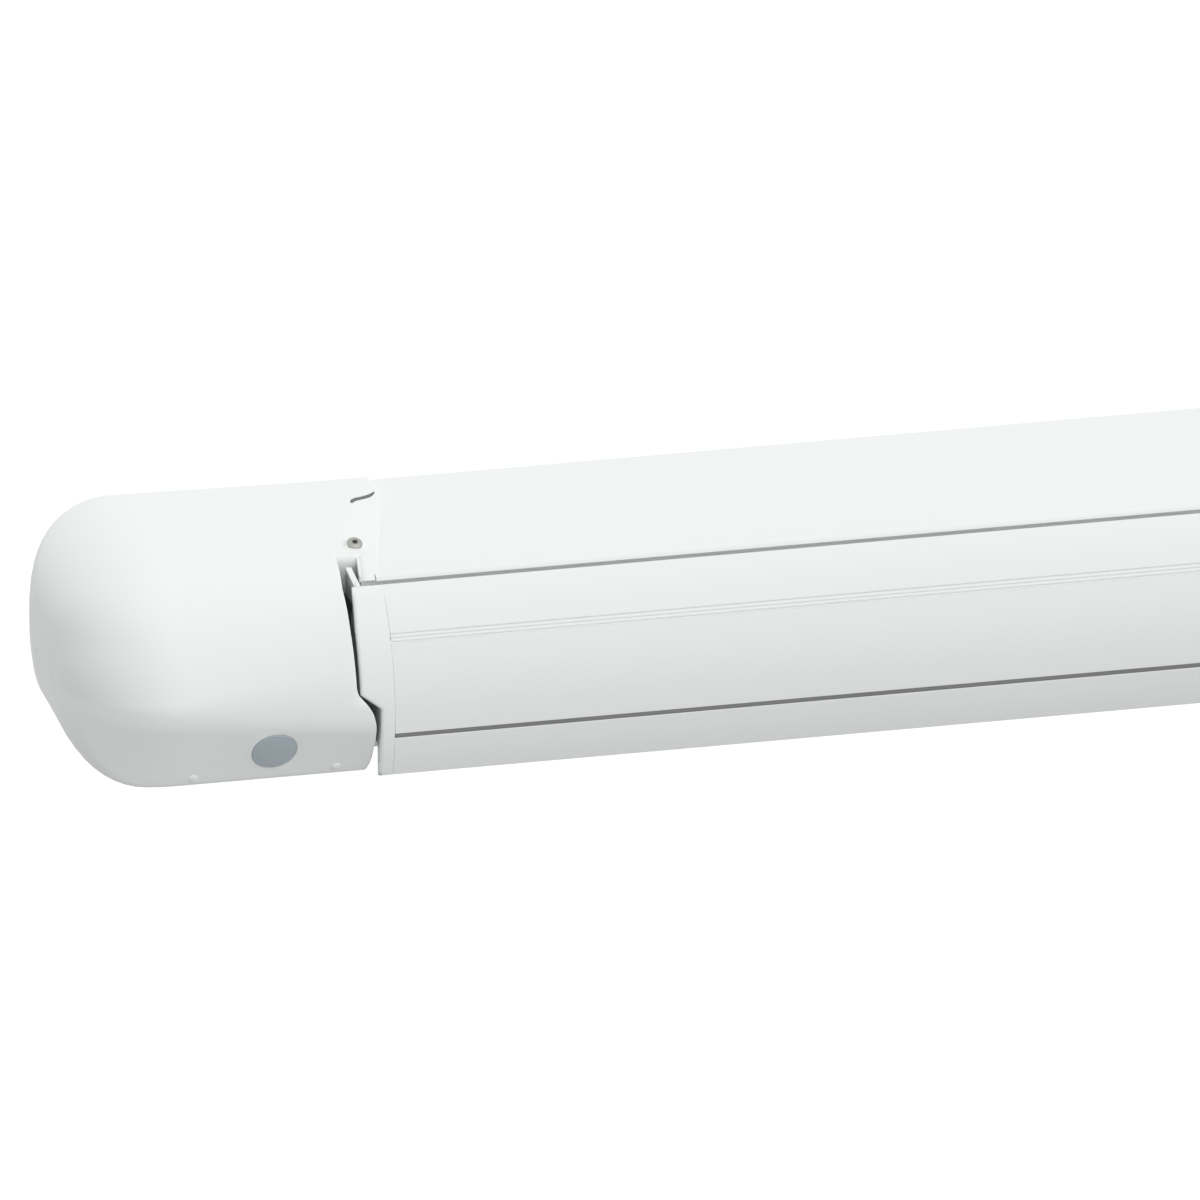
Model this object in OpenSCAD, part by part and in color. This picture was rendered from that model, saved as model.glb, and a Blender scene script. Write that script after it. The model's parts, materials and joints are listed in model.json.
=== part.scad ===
// Roll out awning for a camper: a case, a cloth on a motor roller, two folding arms, a lead bar and two legs.
// It is drawn closed, as it travels. +X runs along the awning, -Y is its open front and +Z is up.
// The origin is the middle of the flat back face. Heights are counted from the underside of the case,
// and depths are counted forward from the back face.

/* [Case] */
// Length of the case profiles
case_len = 2808; // [2400:2:3600]
// Height of the case at its back
case_h = 126; // [125:0.5:130]
// Depth from the back face to the front of the lead bar
case_d = 206.5; // [204:0.5:212]
// Wall of the case profiles
wall = 3; // [2.5:0.1:3.4]
// Fall of the top cover from the back to its nose
top_fall = 4; // [3:0.5:5]
// Radius of the rounded nose of the top cover
bead_r = 3.2; // [2.8:0.1:3.4]
// Gap between the front edge of the floor and the lead bar
floor_gap = 3.5; // [2:0.5:6]
// Thickness of the end plates that carry the roller
plate_t = 8; // [6:0.5:10]
// Width of the seal under the nose
seal_w = 3; // [2:0.5:3.5]
// Room between the seal and the lead bar
seal_gap = 0.8; // [0.5:0.1:1.5]

/* [End caps] */
// Length of an end cap, from the nose seam to its outer end
cap_len = 200; // [180:1:230]
// Wall of an end cap
cap_wall = 3; // [2.5:0.1:4]
// Overlap of the case profiles under the cap's seam
cap_lap = 9; // [6:0.5:12]
// Thickness of the flange that covers the seam
flange_t = 2.8; // [2:0.1:3.2]
// Reach of the flange over the case at its back edge
flange_reach = 36; // [25:1:45]
// Rise of the cap's top towards its outer end
cap_crown = 2.8; // [2:0.2:5]
// How far the cap's front stands in front of the lead bar
cap_bulge = 2.4; // [1.5:0.1:3.5]
// Height of the crease on the cap's front, beside the seam
crease_h = 33.4; // [30:0.5:38]
// Rise of the crease towards the outer end
crease_rise = 14; // [10:0.5:18]
// How far the cap's bottom edge stands behind the front of the lead bar
cap_tuck = 18.5; // [14:0.5:22]
// Length of the end of a cap that turns in on all sides
cap_round = 67; // [60:1:75]
// Clearance beside the lead bar's caps
cap_gap = 4; // [3:0.5:5]
// How far the notch for the lead bar's fin reaches behind the nose
notch_reach = 40.5; // [37:0.5:44]
// Distance of the screw in the cap's flange behind the nose
screw_back = 54.5; // [50:0.5:62]

/* [Roller] */
// Radius of the roller tube
tube_r = 30; // [28:0.5:31]
// Wall of the roller tube
tube_wall = 1.5; // [1.2:0.1:2]
// Thickness of the cloth
cloth_t = 0.6; // [0.4:0.05:0.65]
// Length of cloth on the roller
cloth_len = 2450; // [2000:10:2500]
// Room at each end of the cloth, inside the case
cloth_inset = 74; // [64:1:120]
// Gap between the roll and the back wall
roll_back_gap = 10; // [8:0.5:11]
// Gap between the roll and the top cover
roll_top_gap = 6.8; // [5:0.2:7.4]
// Radius of the tube motor
motor_r = 22; // [20:0.5:24]
// Length of the tube motor inside the case
motor_len = 480; // [400:10:600]
// Radius of the motor's output shaft
shaft_r = 8; // [6:0.5:10]
// Radius of the idle axle
idle_r = 6; // [5:0.5:8]

/* [Arms] */
// Distance of the shoulders from the end of the case
shoulder_inset = 94; // [90:1:110]
// Height of the shoulder pins
shoulder_h = 32; // [31:0.5:33]
// Downward pitch of the arms
pitch = 7; // [5:0.5:8]
// Distance of the folded elbows from the middle
elbow_x = 60; // [40:1:120]
// Width of the arm tubes
arm_w = 24; // [20:0.5:25]
// Height of the arm tubes
arm_t = 32; // [28:0.5:33]
// Wall of the arm tubes
arm_wall = 2; // [1.5:0.1:3]
// Gap between the two folded tubes of an arm
arm_gap = 4; // [3:0.5:5]
// Radius of the pins at shoulder, elbow and wrist
pin_r = 5; // [4:0.5:6]
// Radius of the knuckles around the pins
knuckle_r = 13; // [12:0.2:13.4]
// Thickness of the cheeks beside a knuckle
cheek_t = 5; // [4:0.5:5.5]
// Height of the tongues between the cheeks
tongue_t = 20; // [16:0.5:20]
// Distance of the wrist pins from the back of the lead bar
wrist_reach = 24.7; // [22:0.1:26]

/* [Lead bar] */
// Radius of the lead bar's round front
front_r = 111; // [105:1:120]
// Height of the most forward line of the front
front_mid = 40; // [36:1:44]
// How far the lead bar's profile ends short of the nose seam
bar_short = 3; // [2:0.5:5]
// Drop of the lead bar's top, under the nose, below the top of the case
bar_drop = 9.5; // [9:0.5:11]
// Rise of the lip on the lead bar's top edge, in front of the nose
bar_lip = 3.5; // [2:0.5:4]
// Wall of the lead bar
bar_wall = 3; // [2.5:0.1:3.5]
// Height of the leg bay
bay_h = 27; // [26:0.5:28]
// Width of one leg's lane in the bay
lane_w = 24.5; // [24.2:0.1:26]
// Depth of the front wall that holds the accessory rail
rail_d = 11; // [10:0.5:12]
// Height of the middle of the accessory rail
rail_h = 28.4; // [27:0.1:29]
// Opening of the accessory rail
rail_mouth = 2.9; // [2.6:0.1:4.5]
// Radius of the round bottom of the rail and of its strip
rail_r = 3.4; // [3:0.1:3.6]
// Radius of the rod in the cloth's hem
hem_r = 3; // [2.5:0.1:3.2]
// Length of the upper part of a lead bar cap
bar_cap_long = 22; // [20:0.5:24]
// Length of the lower part of a lead bar cap
bar_cap_short = 9; // [7:0.5:11]
// Height of the step in the lead bar caps, at their outer end
step_h = 57; // [55:0.5:60]
// Fall of the step towards the lead bar
step_fall = 10; // [6:0.5:12]
// Distance between the fine grooves in the front
groove_step = 2.2; // [1.8:0.1:2.6]
// Radius of a groove
groove_r = 0.75; // [0.4:0.05:0.9]
// Height of the middle groove
groove_h = 90; // [80:1:100]

/* [Legs] */
// Length of a leg's outer tube
leg_len = 1100; // [900:10:1200]
// Width of the outer tube
leg_w = 20; // [18:0.1:20.4]
// Wall of the leg tubes
leg_wall = 1.5; // [1.2:0.1:1.8]
// Distance of the leg pivots from the end of the case
leg_inset = 104; // [90:1:130]
// Height of the leg pivots
leg_h = 15; // [14.8:0.1:15.4]
// Radius of the leg pins
leg_pin_r = 4; // [3:0.5:5]

/* [Plug and fasteners] */
// Radius of the round plug in the left end cap
plug_r = 14.5; // [12:0.5:16]
// Distance of the plug from the nose seam
plug_x = 74; // [60:1:90]
// Height of the plug on the lower facet
plug_h = 23; // [21:0.5:26]
// Radius of the mounting bolts
mount_r = 4; // [3:0.5:5]
// Distance of the mounting bolts from the middle
mount_x = 900; // [600:10:1100]
// Depth of the mounting bolts
mount_d = 30; // [25:1:40]
// Radius of the cap screws
screw_r = 2; // [1.5:0.5:2.5]

/* [Hidden] */
$fn = 64;
// Radial room of a running fit, of a seat inside one body and of two flat faces that pass each other
run = 0.06;
fit = 0.05;
pass = 0.5;
// A little extra length for cutters
cut = 1;

half = case_len / 2;
seam_x = half - cap_lap;
bar_end = seam_x - bar_short;
bar_top = case_h - bar_drop;
lip_top = bar_top + bar_lip;
nose_d = front_at(lip_top) - 5;
notch_d = nose_d - notch_reach;
screw_d = nose_d - screw_back;
cap_foot_d = case_d - cap_tuck;
bay_front = case_d - rail_d;
bay_back = bay_front - 2 * lane_w;
bar_back = bay_back - bar_wall;
floor_d = bar_back - floor_gap;
shelf_h = bay_h + 27;
hem_d = nose_d - 13;
hem_h = bar_top - 9;
hem_room = hem_r + 0.6;
hem_block = hem_room + 2.4;
bead_drop = 0.25;
seal_d = nose_d - 4;
lip_d = nose_d + bead_r + 0.8;
seal_low = bar_top - 3 + seal_gap;
cell_back = hem_d + 2.5;
plate_d = screw_d + 4;
bar_screw_l = 20;
bay_rim = 6;
fin_t = 4;
fin_back = 21;
fin_in = 4.4;
bar_cap_slant = 5.5;
fin_rise = 2.8;

roll_r = sqrt(tube_r * tube_r + cloth_len * cloth_t / PI);
roll_d = wall + roll_back_gap + roll_r;
roll_h = cover_under(roll_d) - roll_top_gap - roll_r;
roller_half = half - plate_t - 7;
cloth_half = half - cloth_inset;
core_r = tube_r - tube_wall - fit;
motor_end = -half + motor_len;

shoulder_x = half - shoulder_inset;
arm_step = arm_w + arm_gap;
shoulder_d = bar_back - wrist_reach - arm_step * cos(pitch);
fork_r = arm_step / 2 - pass;
foot_t = 5;
bolt_head = 0.65 * mount_r;
foot_bolt = [22, 19];
wrist_plate = [shoulder_h - 23, shoulder_h + 14];
cheek_in = tongue_t / 2 + pass;
cheek_out = cheek_in + cheek_t;
block_l = 15;
reach_in = 25;
tube_start = -shoulder_x + reach_in + block_l;
tube_end = -elbow_x - reach_in - block_l;
plug_l = 36;
head_t = 1.5;
tongue_set = 3;

leg_x = half - leg_inset;
collar_w = leg_w + 3;
collar_l = 32;
inner_w = leg_w - 2 * leg_wall - 0.4;
inner_from = 60;
inner_to = leg_len + 20;
foot_x = inner_to + 8;

screw_bite = 6;
boss_w = 12;
boss_h = 14;
nut_w = 28;
nut_t = 8;
cap_top = case_h + flange_t;
cap_turn = cap_len - cap_round;
// How far the turned end goes in: at its top, its bottom edge at the back and at the front, and its back. Then the
// corners of its front, from the top down, and its foot.
turn_in = [44, 60, 37, 64];
turn_front = [60, 71, 92, 88, 50];
low_start = 22;
plug_t = 2.4;
dome_r = 6.2 * plug_r;
bore_l = 40;
cap_solid = 28;
stud_x = [34, 125];
stud_h = 6;
stud_r = 3;
// Corners of the cap's front from the top down, beside the seam and where the end starts to turn: how far each
// stands in front of the lead bar, and its height. Then their radii.
front_seam = [[-33.8, cap_top - 4.8], [-10.7, 0.75 * case_h], [cap_bulge, 0.48 * case_h], [1, crease_h]];
front_turn = [[-42.4, cap_top + cap_crown - 5], [-5.6, 0.633 * case_h], [cap_bulge + 0.2, 0.464 * case_h],
    [1.9, crease_h + crease_rise]];
round_seam = [49, 97, 103, 27];
round_turn = [86, 124, 22, 36];

cap_white = [0.93, 0.945, 0.94];
bar_white = [0.92, 0.935, 0.925];
mill_grey = [0.72, 0.73, 0.74];
cast_grey = [0.62, 0.63, 0.65];
steel = [0.7, 0.71, 0.72];
black = [0.12, 0.12, 0.13];
cloth_blue = [0.36, 0.4, 0.46];
plug_grey = [0.58, 0.615, 0.635];

// Depth of the lead bar's round front at a height
function front_at(h) = case_d - front_r + sqrt(front_r * front_r - (h - front_mid) * (h - front_mid));
// Heights of the two faces of the top cover at a depth
function cover_top(d) = case_h - top_fall * d / nose_d;
function cover_under(d) = cover_top(d) - wall;
// Share of an elliptic turn that is done at a distance from the seam, from 0 to 1
function turn(x, start, len) = 1 - sqrt(max(0, 1 - pow(max(0, (x - start) / (len - start)), 2)));
function mix(a, b, share) = a + (b - a) * share;
// Length that a rounded corner at b takes of its two sides, towards its neighbours a and c
function corner_run(a, b, c, r) = r / tan(acos((a - b) * (c - b) / norm(a - b) / norm(c - b)) / 2);
// Points of one rounded corner at b, between its neighbours a and c
function corner(a, b, c, run_in, steps = 6) =
    let (p = (a - b) / norm(a - b), q = (c - b) / norm(c - b))
    let (angle = acos(p * q))
    let (r = run_in * tan(angle / 2))
    let (mid = b + (p + q) / norm(p + q) * r / sin(angle / 2))
    let (from = b + p * run_in - mid, to = b + q * run_in - mid)
    let (start = atan2(from[1], from[0]), sweep = atan2(from[0] * to[1] - from[1] * to[0], from * to))
    [for (i = [0 : steps]) mid + r * [cos(start + sweep * i / steps), sin(start + sweep * i / steps)]];
// Closed outline with rounded corners, which share a side that is too short for both
function rounded(pts, radii) =
    let (n = len(pts))
    let (runs = [for (i = [0 : n - 1]) corner_run(pts[(i + n - 1) % n], pts[i], pts[(i + 1) % n], radii[i])])
    let (sides = [for (i = [0 : n - 1]) norm(pts[(i + 1) % n] - pts[i])])
    let (room = [for (i = [0 : n - 1]) min(1, 0.98 * sides[i] / (runs[i] + runs[(i + 1) % n]))])
    [for (i = [0 : n - 1]) each corner(pts[(i + n - 1) % n], pts[i], pts[(i + 1) % n],
        runs[i] * min(room[i], room[(i + n - 1) % n]))];

// Corners of the cap's front at a distance x from the nose seam
function front_corners(x) = [for (i = [0 : 3]) mix(front_seam[i], front_turn[i], min(1, x / cap_turn))];
// Lean of the facet below the crease, and its depth at a height
function facet_tilt(x) = let (crease = front_corners(x)[3]) atan((case_d + crease[0] - cap_foot_d) / crease[1]);
function facet_d(x, h) = cap_foot_d + h * tan(facet_tilt(x));
// Outline of the end cap, across the awning, at a distance x from the nose seam
function cap_outline(x, len) =
    let (going = turn(x, cap_turn, len), lifting = turn(x, cap_turn + low_start, len))
    let (share = min(1, x / cap_turn), at = front_corners(x), top = turn_in[0] * going)
    let (low = turn_in[1] * lifting, back = turn_in[3] * going)
    let (places = [for (i = [0 : 3]) let (up = (at[i][1] - at[3][1]) / (at[0][1] - at[3][1]))
        [turn_front[i] * going - case_d - at[i][0], at[i][1] - top * up]])
    let (rear = [[-back, low], [-back, cap_top + cap_crown * share - top]])
    rounded(concat(rear, places, [[turn_front[4] * going - cap_foot_d, turn_in[2] * lifting]]),
        concat([4 + 0.7 * low, 2 + 0.6 * top], mix(round_seam, round_turn, share), [5 + 0.6 * low]));

// Everything is drawn from the underside of the case and lowered so that the back face is centred
module seat() translate([0, 0, -case_h / 2]) children();
module along_x(x0, x1) translate([x0, 0, 0]) rotate([90, 0, 90]) linear_extrude(x1 - x0) children();
module along_y(d0, d1) translate([0, -d0, 0]) rotate([90, 0, 0]) linear_extrude(d1 - d0) children();
module rod_x(x0, x1, d, h, r) translate([x0, -d, h]) rotate([0, 90, 0]) cylinder(r = r, h = x1 - x0);
module mirrored() mirror([1, 0, 0]) children();
module both() {
    children();
    mirrored() children();
}
// Frame of the folding arms: its origin is between the shoulders, and it leans forward by the pitch
module arm_frame() translate([0, -shoulder_d, shoulder_h]) rotate([pitch, 0, 0]) children();
// Box given by its corners
module block(a, b) translate(a) cube(b - a);

// Case profiles
module rear_profile() color(cap_white) seat() difference() {
    along_x(-half, half) polygon([[0, 0], [0, cover_under(0)], [-wall, cover_under(wall)], [-wall, wall],
        [-floor_d, wall], [-floor_d, 0]]);
    mount_holes(mount_r + 0.25);
    both() shoulder_holes(mount_r + 0.25);
}

module mount_holes(r) both() translate([-mount_x, -mount_d, -cut]) cylinder(r = r, h = 30);

module shoulder_bolt_places() for (side = [-1, 1])
    translate([-shoulder_x + foot_bolt[0], -shoulder_d + foot_bolt[1] * side, 0]) children();
module shoulder_holes(r) shoulder_bolt_places()
    translate([0, 0, -cut]) cylinder(r = r, h = wall + foot_t + 2 * cut);

module top_cover() color(cap_white) seat() difference() {
    union() {
        along_x(-half, half) polygon([[0, cover_top(0)], [0, cover_under(0)], [-nose_d, cover_under(nose_d)],
            [-nose_d, cover_top(nose_d)]]);
        rod_x(-half, half, nose_d, cover_top(nose_d) - bead_drop - bead_r, bead_r);
    }
    both() notch();
    both() screw_holes();
}

// Notch beside the nose, where the fin of the lead bar's cap goes in. Its sides slant like the flange's edge.
notch_rear = [-16.3, -2.6];
notch_front = [bar_short - bar_cap_long - cap_gap, -11];
module notch() translate([-seam_x, 0, step_h]) linear_extrude(case_h) polygon([[notch_rear[0], -notch_d],
    [notch_rear[1], -notch_d], [notch_front[1], -nose_d - 4], [notch_front[0], -nose_d - 4]]);
// Room in an end cap for the lead bar's cap. The lip below its long part leaves room for its drop.
lip_x = bar_short - bar_cap_short - cap_gap;
room_top = cover_top(nose_d - 8) + 0.1;
module bar_cap_room() translate([-seam_x, 0, 0]) {
    along_y(nose_d - 8, case_d + 30) polygon([[cut, -cut], [cut, room_top],
        [notch_front[0], room_top], [notch_front[0], step_h - 1], [notch_front[0] + 4, step_h - 6],
        [notch_front[0] + 9, step_h - 12], [lip_x, step_h - 26], [lip_x, -cut]]);
    block([notch_front[0], -case_d - 30, step_h], [cut, -nose_d + 0.5, 2 * case_h]);
    block([lip_x, -case_d - 30, -cut], [cut, -notch_d, step_h]);
}

module screw_holes() translate([-seam_x, -screw_d, case_h - 20]) cylinder(r = screw_r + fit, h = 40);

module nose_seal() color(black) seat() along_x(-bar_end, bar_end) polygon([
    [-seal_d, cover_under(seal_d)], [-seal_d, seal_low], [-seal_d + seal_w, seal_low],
    [-seal_d + seal_w, cover_under(seal_d - seal_w)]]);

// End caps
module cap_body(x0, len, inset) hull() {
    turned = [for (i = [1 : 7]) cap_turn + (len - cap_turn) * sin(i * 90 / 7.2)];
    stations = concat([x0, cap_turn], turned);
    for (x = stations) along_x(-seam_x - x - 0.05, -seam_x - x)
        offset(delta = -inset) polygon(cap_outline(x, len));
}

module end_cap(with_plug) seat() difference() {
    union() {
        difference() {
            cap_body(cap_lap, cap_len, 0);
            cap_body(cap_solid, cap_len - cap_wall, cap_wall);
        }
        cap_flange();
    }
    block([-seam_x - 40, -plate_d, wall], [-seam_x, -wall, case_h - top_fall]);
    notch();
    bar_cap_room();
    screw_holes();
    cap_stud_places() translate([0, 0, -10]) cylinder(r = stud_r + fit, h = 20);
    if (with_plug) plug_place() plug_bore();
}

// Flange over the seam, with a slanted edge and a tongue that runs down to the nose
module cap_flange() intersection() {
    translate([-seam_x, 0, 0]) linear_extrude(2 * case_h) polygon([[-cap_lap - cut, 0], [flange_reach, 0],
        [1, -nose_d], [notch_front[1], -nose_d], [notch_rear[1], -notch_d], [-cap_lap - cut, -notch_d]]);
    along_x(-half - cut, half) polygon([[0, cover_top(0)], [0, cover_top(0) + flange_t],
        [-nose_d, cover_top(nose_d) + flange_t], [-nose_d, cover_top(nose_d)]]);
}

module left_end_cap() color(cap_white) end_cap(true);
module right_end_cap() color(cap_white) mirrored() end_cap(false);

// Small domed studs that pin the bottom edge of a cap
module cap_stud_places() for (x = stud_x)
    translate([-seam_x - x, -facet_d(x, stud_h) + 0.6, stud_h]) rotate([90 + facet_tilt(x), 0, 0]) children();
module cap_studs() color(cap_white) seat() both() cap_stud_places() intersection() {
    translate([0, 0, -5]) cylinder(r = stud_r, h = 12);
    translate([0, 0, -7]) sphere(r = 8);
}

module cap_screws() color(steel) seat() both() translate([-seam_x, -screw_d, cover_top(screw_d) + flange_t])
    difference() {
    union() {
        translate([0, 0, -flange_t - wall - screw_bite])
            cylinder(r = screw_r, h = flange_t + wall + screw_bite + cut);
        translate([0, 0, 0.1]) intersection() {
            cylinder(r = 5, h = 3.4);
            translate([0, 0, -3.6]) sphere(r = 7);
        }
    }
    translate([0, 0, 1.4]) cylinder(r = 1.8, h = 5, $fn = 6);
}

// Round plug over the opening for the hand crank, on the lower facet of the left cap
module plug_place() translate([-seam_x - plug_x, -facet_d(plug_x, plug_h), plug_h])
    rotate([90 + facet_tilt(plug_x), 0, 0]) children();
module plug_bore() {
    translate([0, 0, -bore_l]) cylinder(r = plug_r - 2.5 + run, h = 1.5 * bore_l);
    translate([0, 0, -0.8]) cylinder(r = plug_r + 0.35, h = 12);
}
module override_plug() color(plug_grey) seat() plug_place() {
    translate([0, 0, -9]) cylinder(r = plug_r - 2.5, h = 9);
    translate([0, 0, -0.7]) intersection() {
        cylinder(r = plug_r, h = plug_t);
        translate([0, 0, plug_t - dome_r]) sphere(r = dome_r, $fn = 128);
    }
}

// End plates, motor and roller
module end_plate() difference() {
    union() {
        along_x(-half, -half + plate_t) polygon([[-wall, wall], [-plate_d, wall],
            [-plate_d, cover_under(plate_d)], [-wall, cover_under(wall)]]);
        screw_boss();
    }
    screw_holes();
    children();
}
// Boss of an end plate that takes the cap's screw
module screw_boss() along_x(-half, -seam_x + boss_w / 2) polygon([[-plate_d, cover_under(plate_d) - boss_h],
    [-plate_d, cover_under(plate_d)], [-plate_d + boss_w, cover_under(plate_d - boss_w)],
    [-plate_d + boss_w, cover_under(plate_d) - boss_h]]);
module left_end_plate() color(cast_grey) seat() end_plate()
    rod_x(-half - cut, -half + plate_t + cut, roll_d, roll_h, motor_r + fit);
module right_end_plate() color(cast_grey) seat() mirrored() end_plate()
    rod_x(-half - cut, -half + plate_t + cut, roll_d, roll_h, idle_r + 4 + fit);

module tube_motor() color(black) seat() {
    rod_x(-half - 14, -half - fit, roll_d, roll_h, motor_r + 6);
    rod_x(-half - cut, motor_end, roll_d, roll_h, motor_r);
    rod_x(motor_end - cut, motor_end + 26, roll_d, roll_h, shaft_r);
}

module idle_bush() color(black) seat() difference() {
    rod_x(half - plate_t, half, roll_d, roll_h, idle_r + 4);
    rod_x(half - plate_t - cut, half + cut, roll_d, roll_h, idle_r + run);
}

module roller_tube() color(mill_grey) seat() difference() {
    rod_x(-roller_half, roller_half, roll_d, roll_h, tube_r);
    rod_x(-roller_half - cut, roller_half + cut, roll_d, roll_h, tube_r - tube_wall);
}

module bearing_ring() color(black) seat() difference() {
    rod_x(-roller_half, -roller_half + 16, roll_d, roll_h, core_r);
    rod_x(-roller_half - cut, -roller_half + 17, roll_d, roll_h, motor_r + run);
}

module drive_wheel() color(black) seat() difference() {
    rod_x(motor_end + 2, motor_end + 26, roll_d, roll_h, core_r);
    rod_x(motor_end, motor_end + 28, roll_d, roll_h, shaft_r + run);
}

module idle_plug() color(black) seat() {
    rod_x(roller_half - 40, roller_half, roll_d, roll_h, core_r);
    rod_x(roller_half - cut, half + 3, roll_d, roll_h, idle_r);
}

module cloth_roll() color(cloth_blue) seat() difference() {
    rod_x(-cloth_half, cloth_half, roll_d, roll_h, roll_r);
    rod_x(-cloth_half - cut, cloth_half + cut, roll_d, roll_h, tube_r + fit);
}

// Strip of cloth from the top of the roll to the rod in the lead bar
module canopy() color(cloth_blue) seat() along_x(-cloth_half, cloth_half) polygon([
    [-roll_d, roll_h + roll_r + 0.5], [-roll_d, roll_h + roll_r + 0.5 + cloth_t],
    [-hem_d + hem_r + 0.3, hem_h + cloth_t / 2], [-hem_d + hem_r + 0.3, hem_h - cloth_t / 2]]);

module hem_rod() color(cloth_blue) seat() rod_x(-cloth_half, cloth_half, hem_d, hem_h, hem_r);

// Folding arms, drawn for the left side in the arm frame
module flat_plate(h0, h1) for (i = [0 : $children - 1])
    translate([0, 0, h0]) linear_extrude(h1 - h0) children(i);
module pin_bore(x, y, room) translate([x, y, -arm_t]) cylinder(r = pin_r + room, h = 2 * arm_t);

// Eye around a pin at (x, y), and the taper from it to the face of a block at face_x
module eye(x, y, r) translate([x, y]) circle(r);
module taper(x, y, r, face_x, face_y) polygon([[x, y - 0.96 * r], [x, y + 0.96 * r],
    [face_x, face_y + arm_w / 2], [face_x, face_y - arm_w / 2]]);
module arm_tube(y) difference() {
    block([tube_start, y - arm_w / 2, -arm_t / 2], [tube_end, y + arm_w / 2, arm_t / 2]);
    block([tube_start - cut, y - arm_w / 2 + arm_wall, -arm_t / 2 + arm_wall],
        [tube_end + cut, y + arm_w / 2 - arm_wall, arm_t / 2 - arm_wall]);
}
// Full height block that closes a tube, with its plug inside the tube
module tube_plug(x, y, side) {
    inner_y = arm_w / 2 - arm_wall - fit;
    inner_h = arm_t / 2 - arm_wall - fit;
    block([min(x, x - side * block_l), y - arm_w / 2, -arm_t / 2],
        [max(x, x - side * block_l), y + arm_w / 2, arm_t / 2]);
    block([min(x - side, x + side * plug_l), y - inner_y, -inner_h],
        [max(x - side, x + side * plug_l), y + inner_y, inner_h]);
}
// Knuckle at the outer end of an arm tube, at the shoulder or at the wrist
module outer_knuckle(y) difference() {
    union() {
        tube_plug(tube_start, y, 1);
        flat_plate(-tongue_t / 2, tongue_t / 2) {
            eye(-shoulder_x, y, knuckle_r);
            taper(-shoulder_x, y, knuckle_r, tube_start - block_l + cut, y);
        }
    }
    pin_bore(-shoulder_x, y, run);
}
module elbow_fork() difference() {
    union() {
        tube_plug(tube_end, 0, -1);
        bracket_cheeks() {
            eye(-elbow_x, -arm_step / 2, fork_r);
            taper(-elbow_x, -arm_step / 2, fork_r, tube_end + block_l - cut, 0);
        }
    }
    pin_bore(-elbow_x, -arm_step / 2, fit);
}
module elbow_tongue() difference() {
    union() {
        tube_plug(tube_end - tongue_set, -arm_step, -1);
        flat_plate(-tongue_t / 2, tongue_t / 2) {
            eye(-elbow_x, -arm_step / 2, knuckle_r);
            taper(-elbow_x, -arm_step / 2, knuckle_r, tube_end + block_l - tongue_set - cut, -arm_step);
        }
    }
    pin_bore(-elbow_x, -arm_step / 2, run);
}
module forearm_tube() intersection() {
    arm_tube(-arm_step);
    block([tube_start, -2 * arm_step, -arm_t], [tube_end - tongue_set, 0, arm_t]);
}
// Pin with a round head above and a clip below
module pivot_pin(x, y, h) translate([x, y, 0]) {
    translate([0, 0, -h - head_t]) cylinder(r = pin_r, h = 2 * h + head_t + cut);
    translate([0, 0, h + fit]) cylinder(r = pin_r + 2, h = head_t);
    translate([0, 0, -h - head_t]) cylinder(r = pin_r + 1.5, h = head_t - fit);
}
module arm_spring() difference() {
    rod_x(tube_start + plug_l + 1, tube_end - plug_l - 1, 0, 0, arm_w / 2 - arm_wall - 0.4);
    rod_x(tube_start, tube_end, 0, 0, arm_w / 2 - arm_wall - 3);
}

module left_shoulder_knuckle() color(cast_grey) seat() arm_frame() outer_knuckle(0);
module left_upper_tube() color(cap_white) seat() arm_frame() arm_tube(0);
module left_elbow_fork() color(cast_grey) seat() arm_frame() elbow_fork();
module left_elbow_pin() color(steel) seat() arm_frame() pivot_pin(-elbow_x, -arm_step / 2, cheek_out);
module left_arm_spring() color(steel) seat() arm_frame() arm_spring();
module left_elbow_tongue() color(cast_grey) seat() arm_frame() elbow_tongue();
module left_forearm_tube() color(cap_white) seat() arm_frame() forearm_tube();
module left_wrist_knuckle() color(cast_grey) seat() arm_frame() outer_knuckle(-arm_step);
module right_shoulder_knuckle() mirrored() left_shoulder_knuckle();
module right_upper_tube() mirrored() left_upper_tube();
module right_elbow_fork() mirrored() left_elbow_fork();
module right_elbow_pin() mirrored() left_elbow_pin();
module right_arm_spring() mirrored() left_arm_spring();
module right_elbow_tongue() mirrored() left_elbow_tongue();
module right_forearm_tube() mirrored() left_forearm_tube();
module right_wrist_knuckle() mirrored() left_wrist_knuckle();

// Two cheeks of a bracket, above and below a tongue
module bracket_cheeks() for (side = [0, 1], i = [0 : $children - 1])
    mirror([0, 0, side]) flat_plate(cheek_in, cheek_out) children(i);

module shoulder_brackets() color(cast_grey) seat() both() difference() {
    union() {
        block([-shoulder_x - 40, -shoulder_d - foot_bolt[1] - 8, wall],
            [-shoulder_x + foot_bolt[0] + 8, -shoulder_d + foot_bolt[1] + 11, wall + foot_t]);
        arm_frame() {
            bracket_cheeks() {
                translate([-shoulder_x, 0]) circle(fork_r);
                translate([-shoulder_x - 36, -fork_r]) square([36, 2 * fork_r]);
            }
            block([-shoulder_x - 36, -fork_r, -26], [-shoulder_x - 18, fork_r, cheek_out]);
        }
    }
    arm_frame() pin_bore(-shoulder_x, 0, fit);
    shoulder_holes(mount_r + 0.25);
}

module shoulder_pins() color(steel) seat() both() arm_frame() pivot_pin(-shoulder_x, 0, cheek_out);

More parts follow.
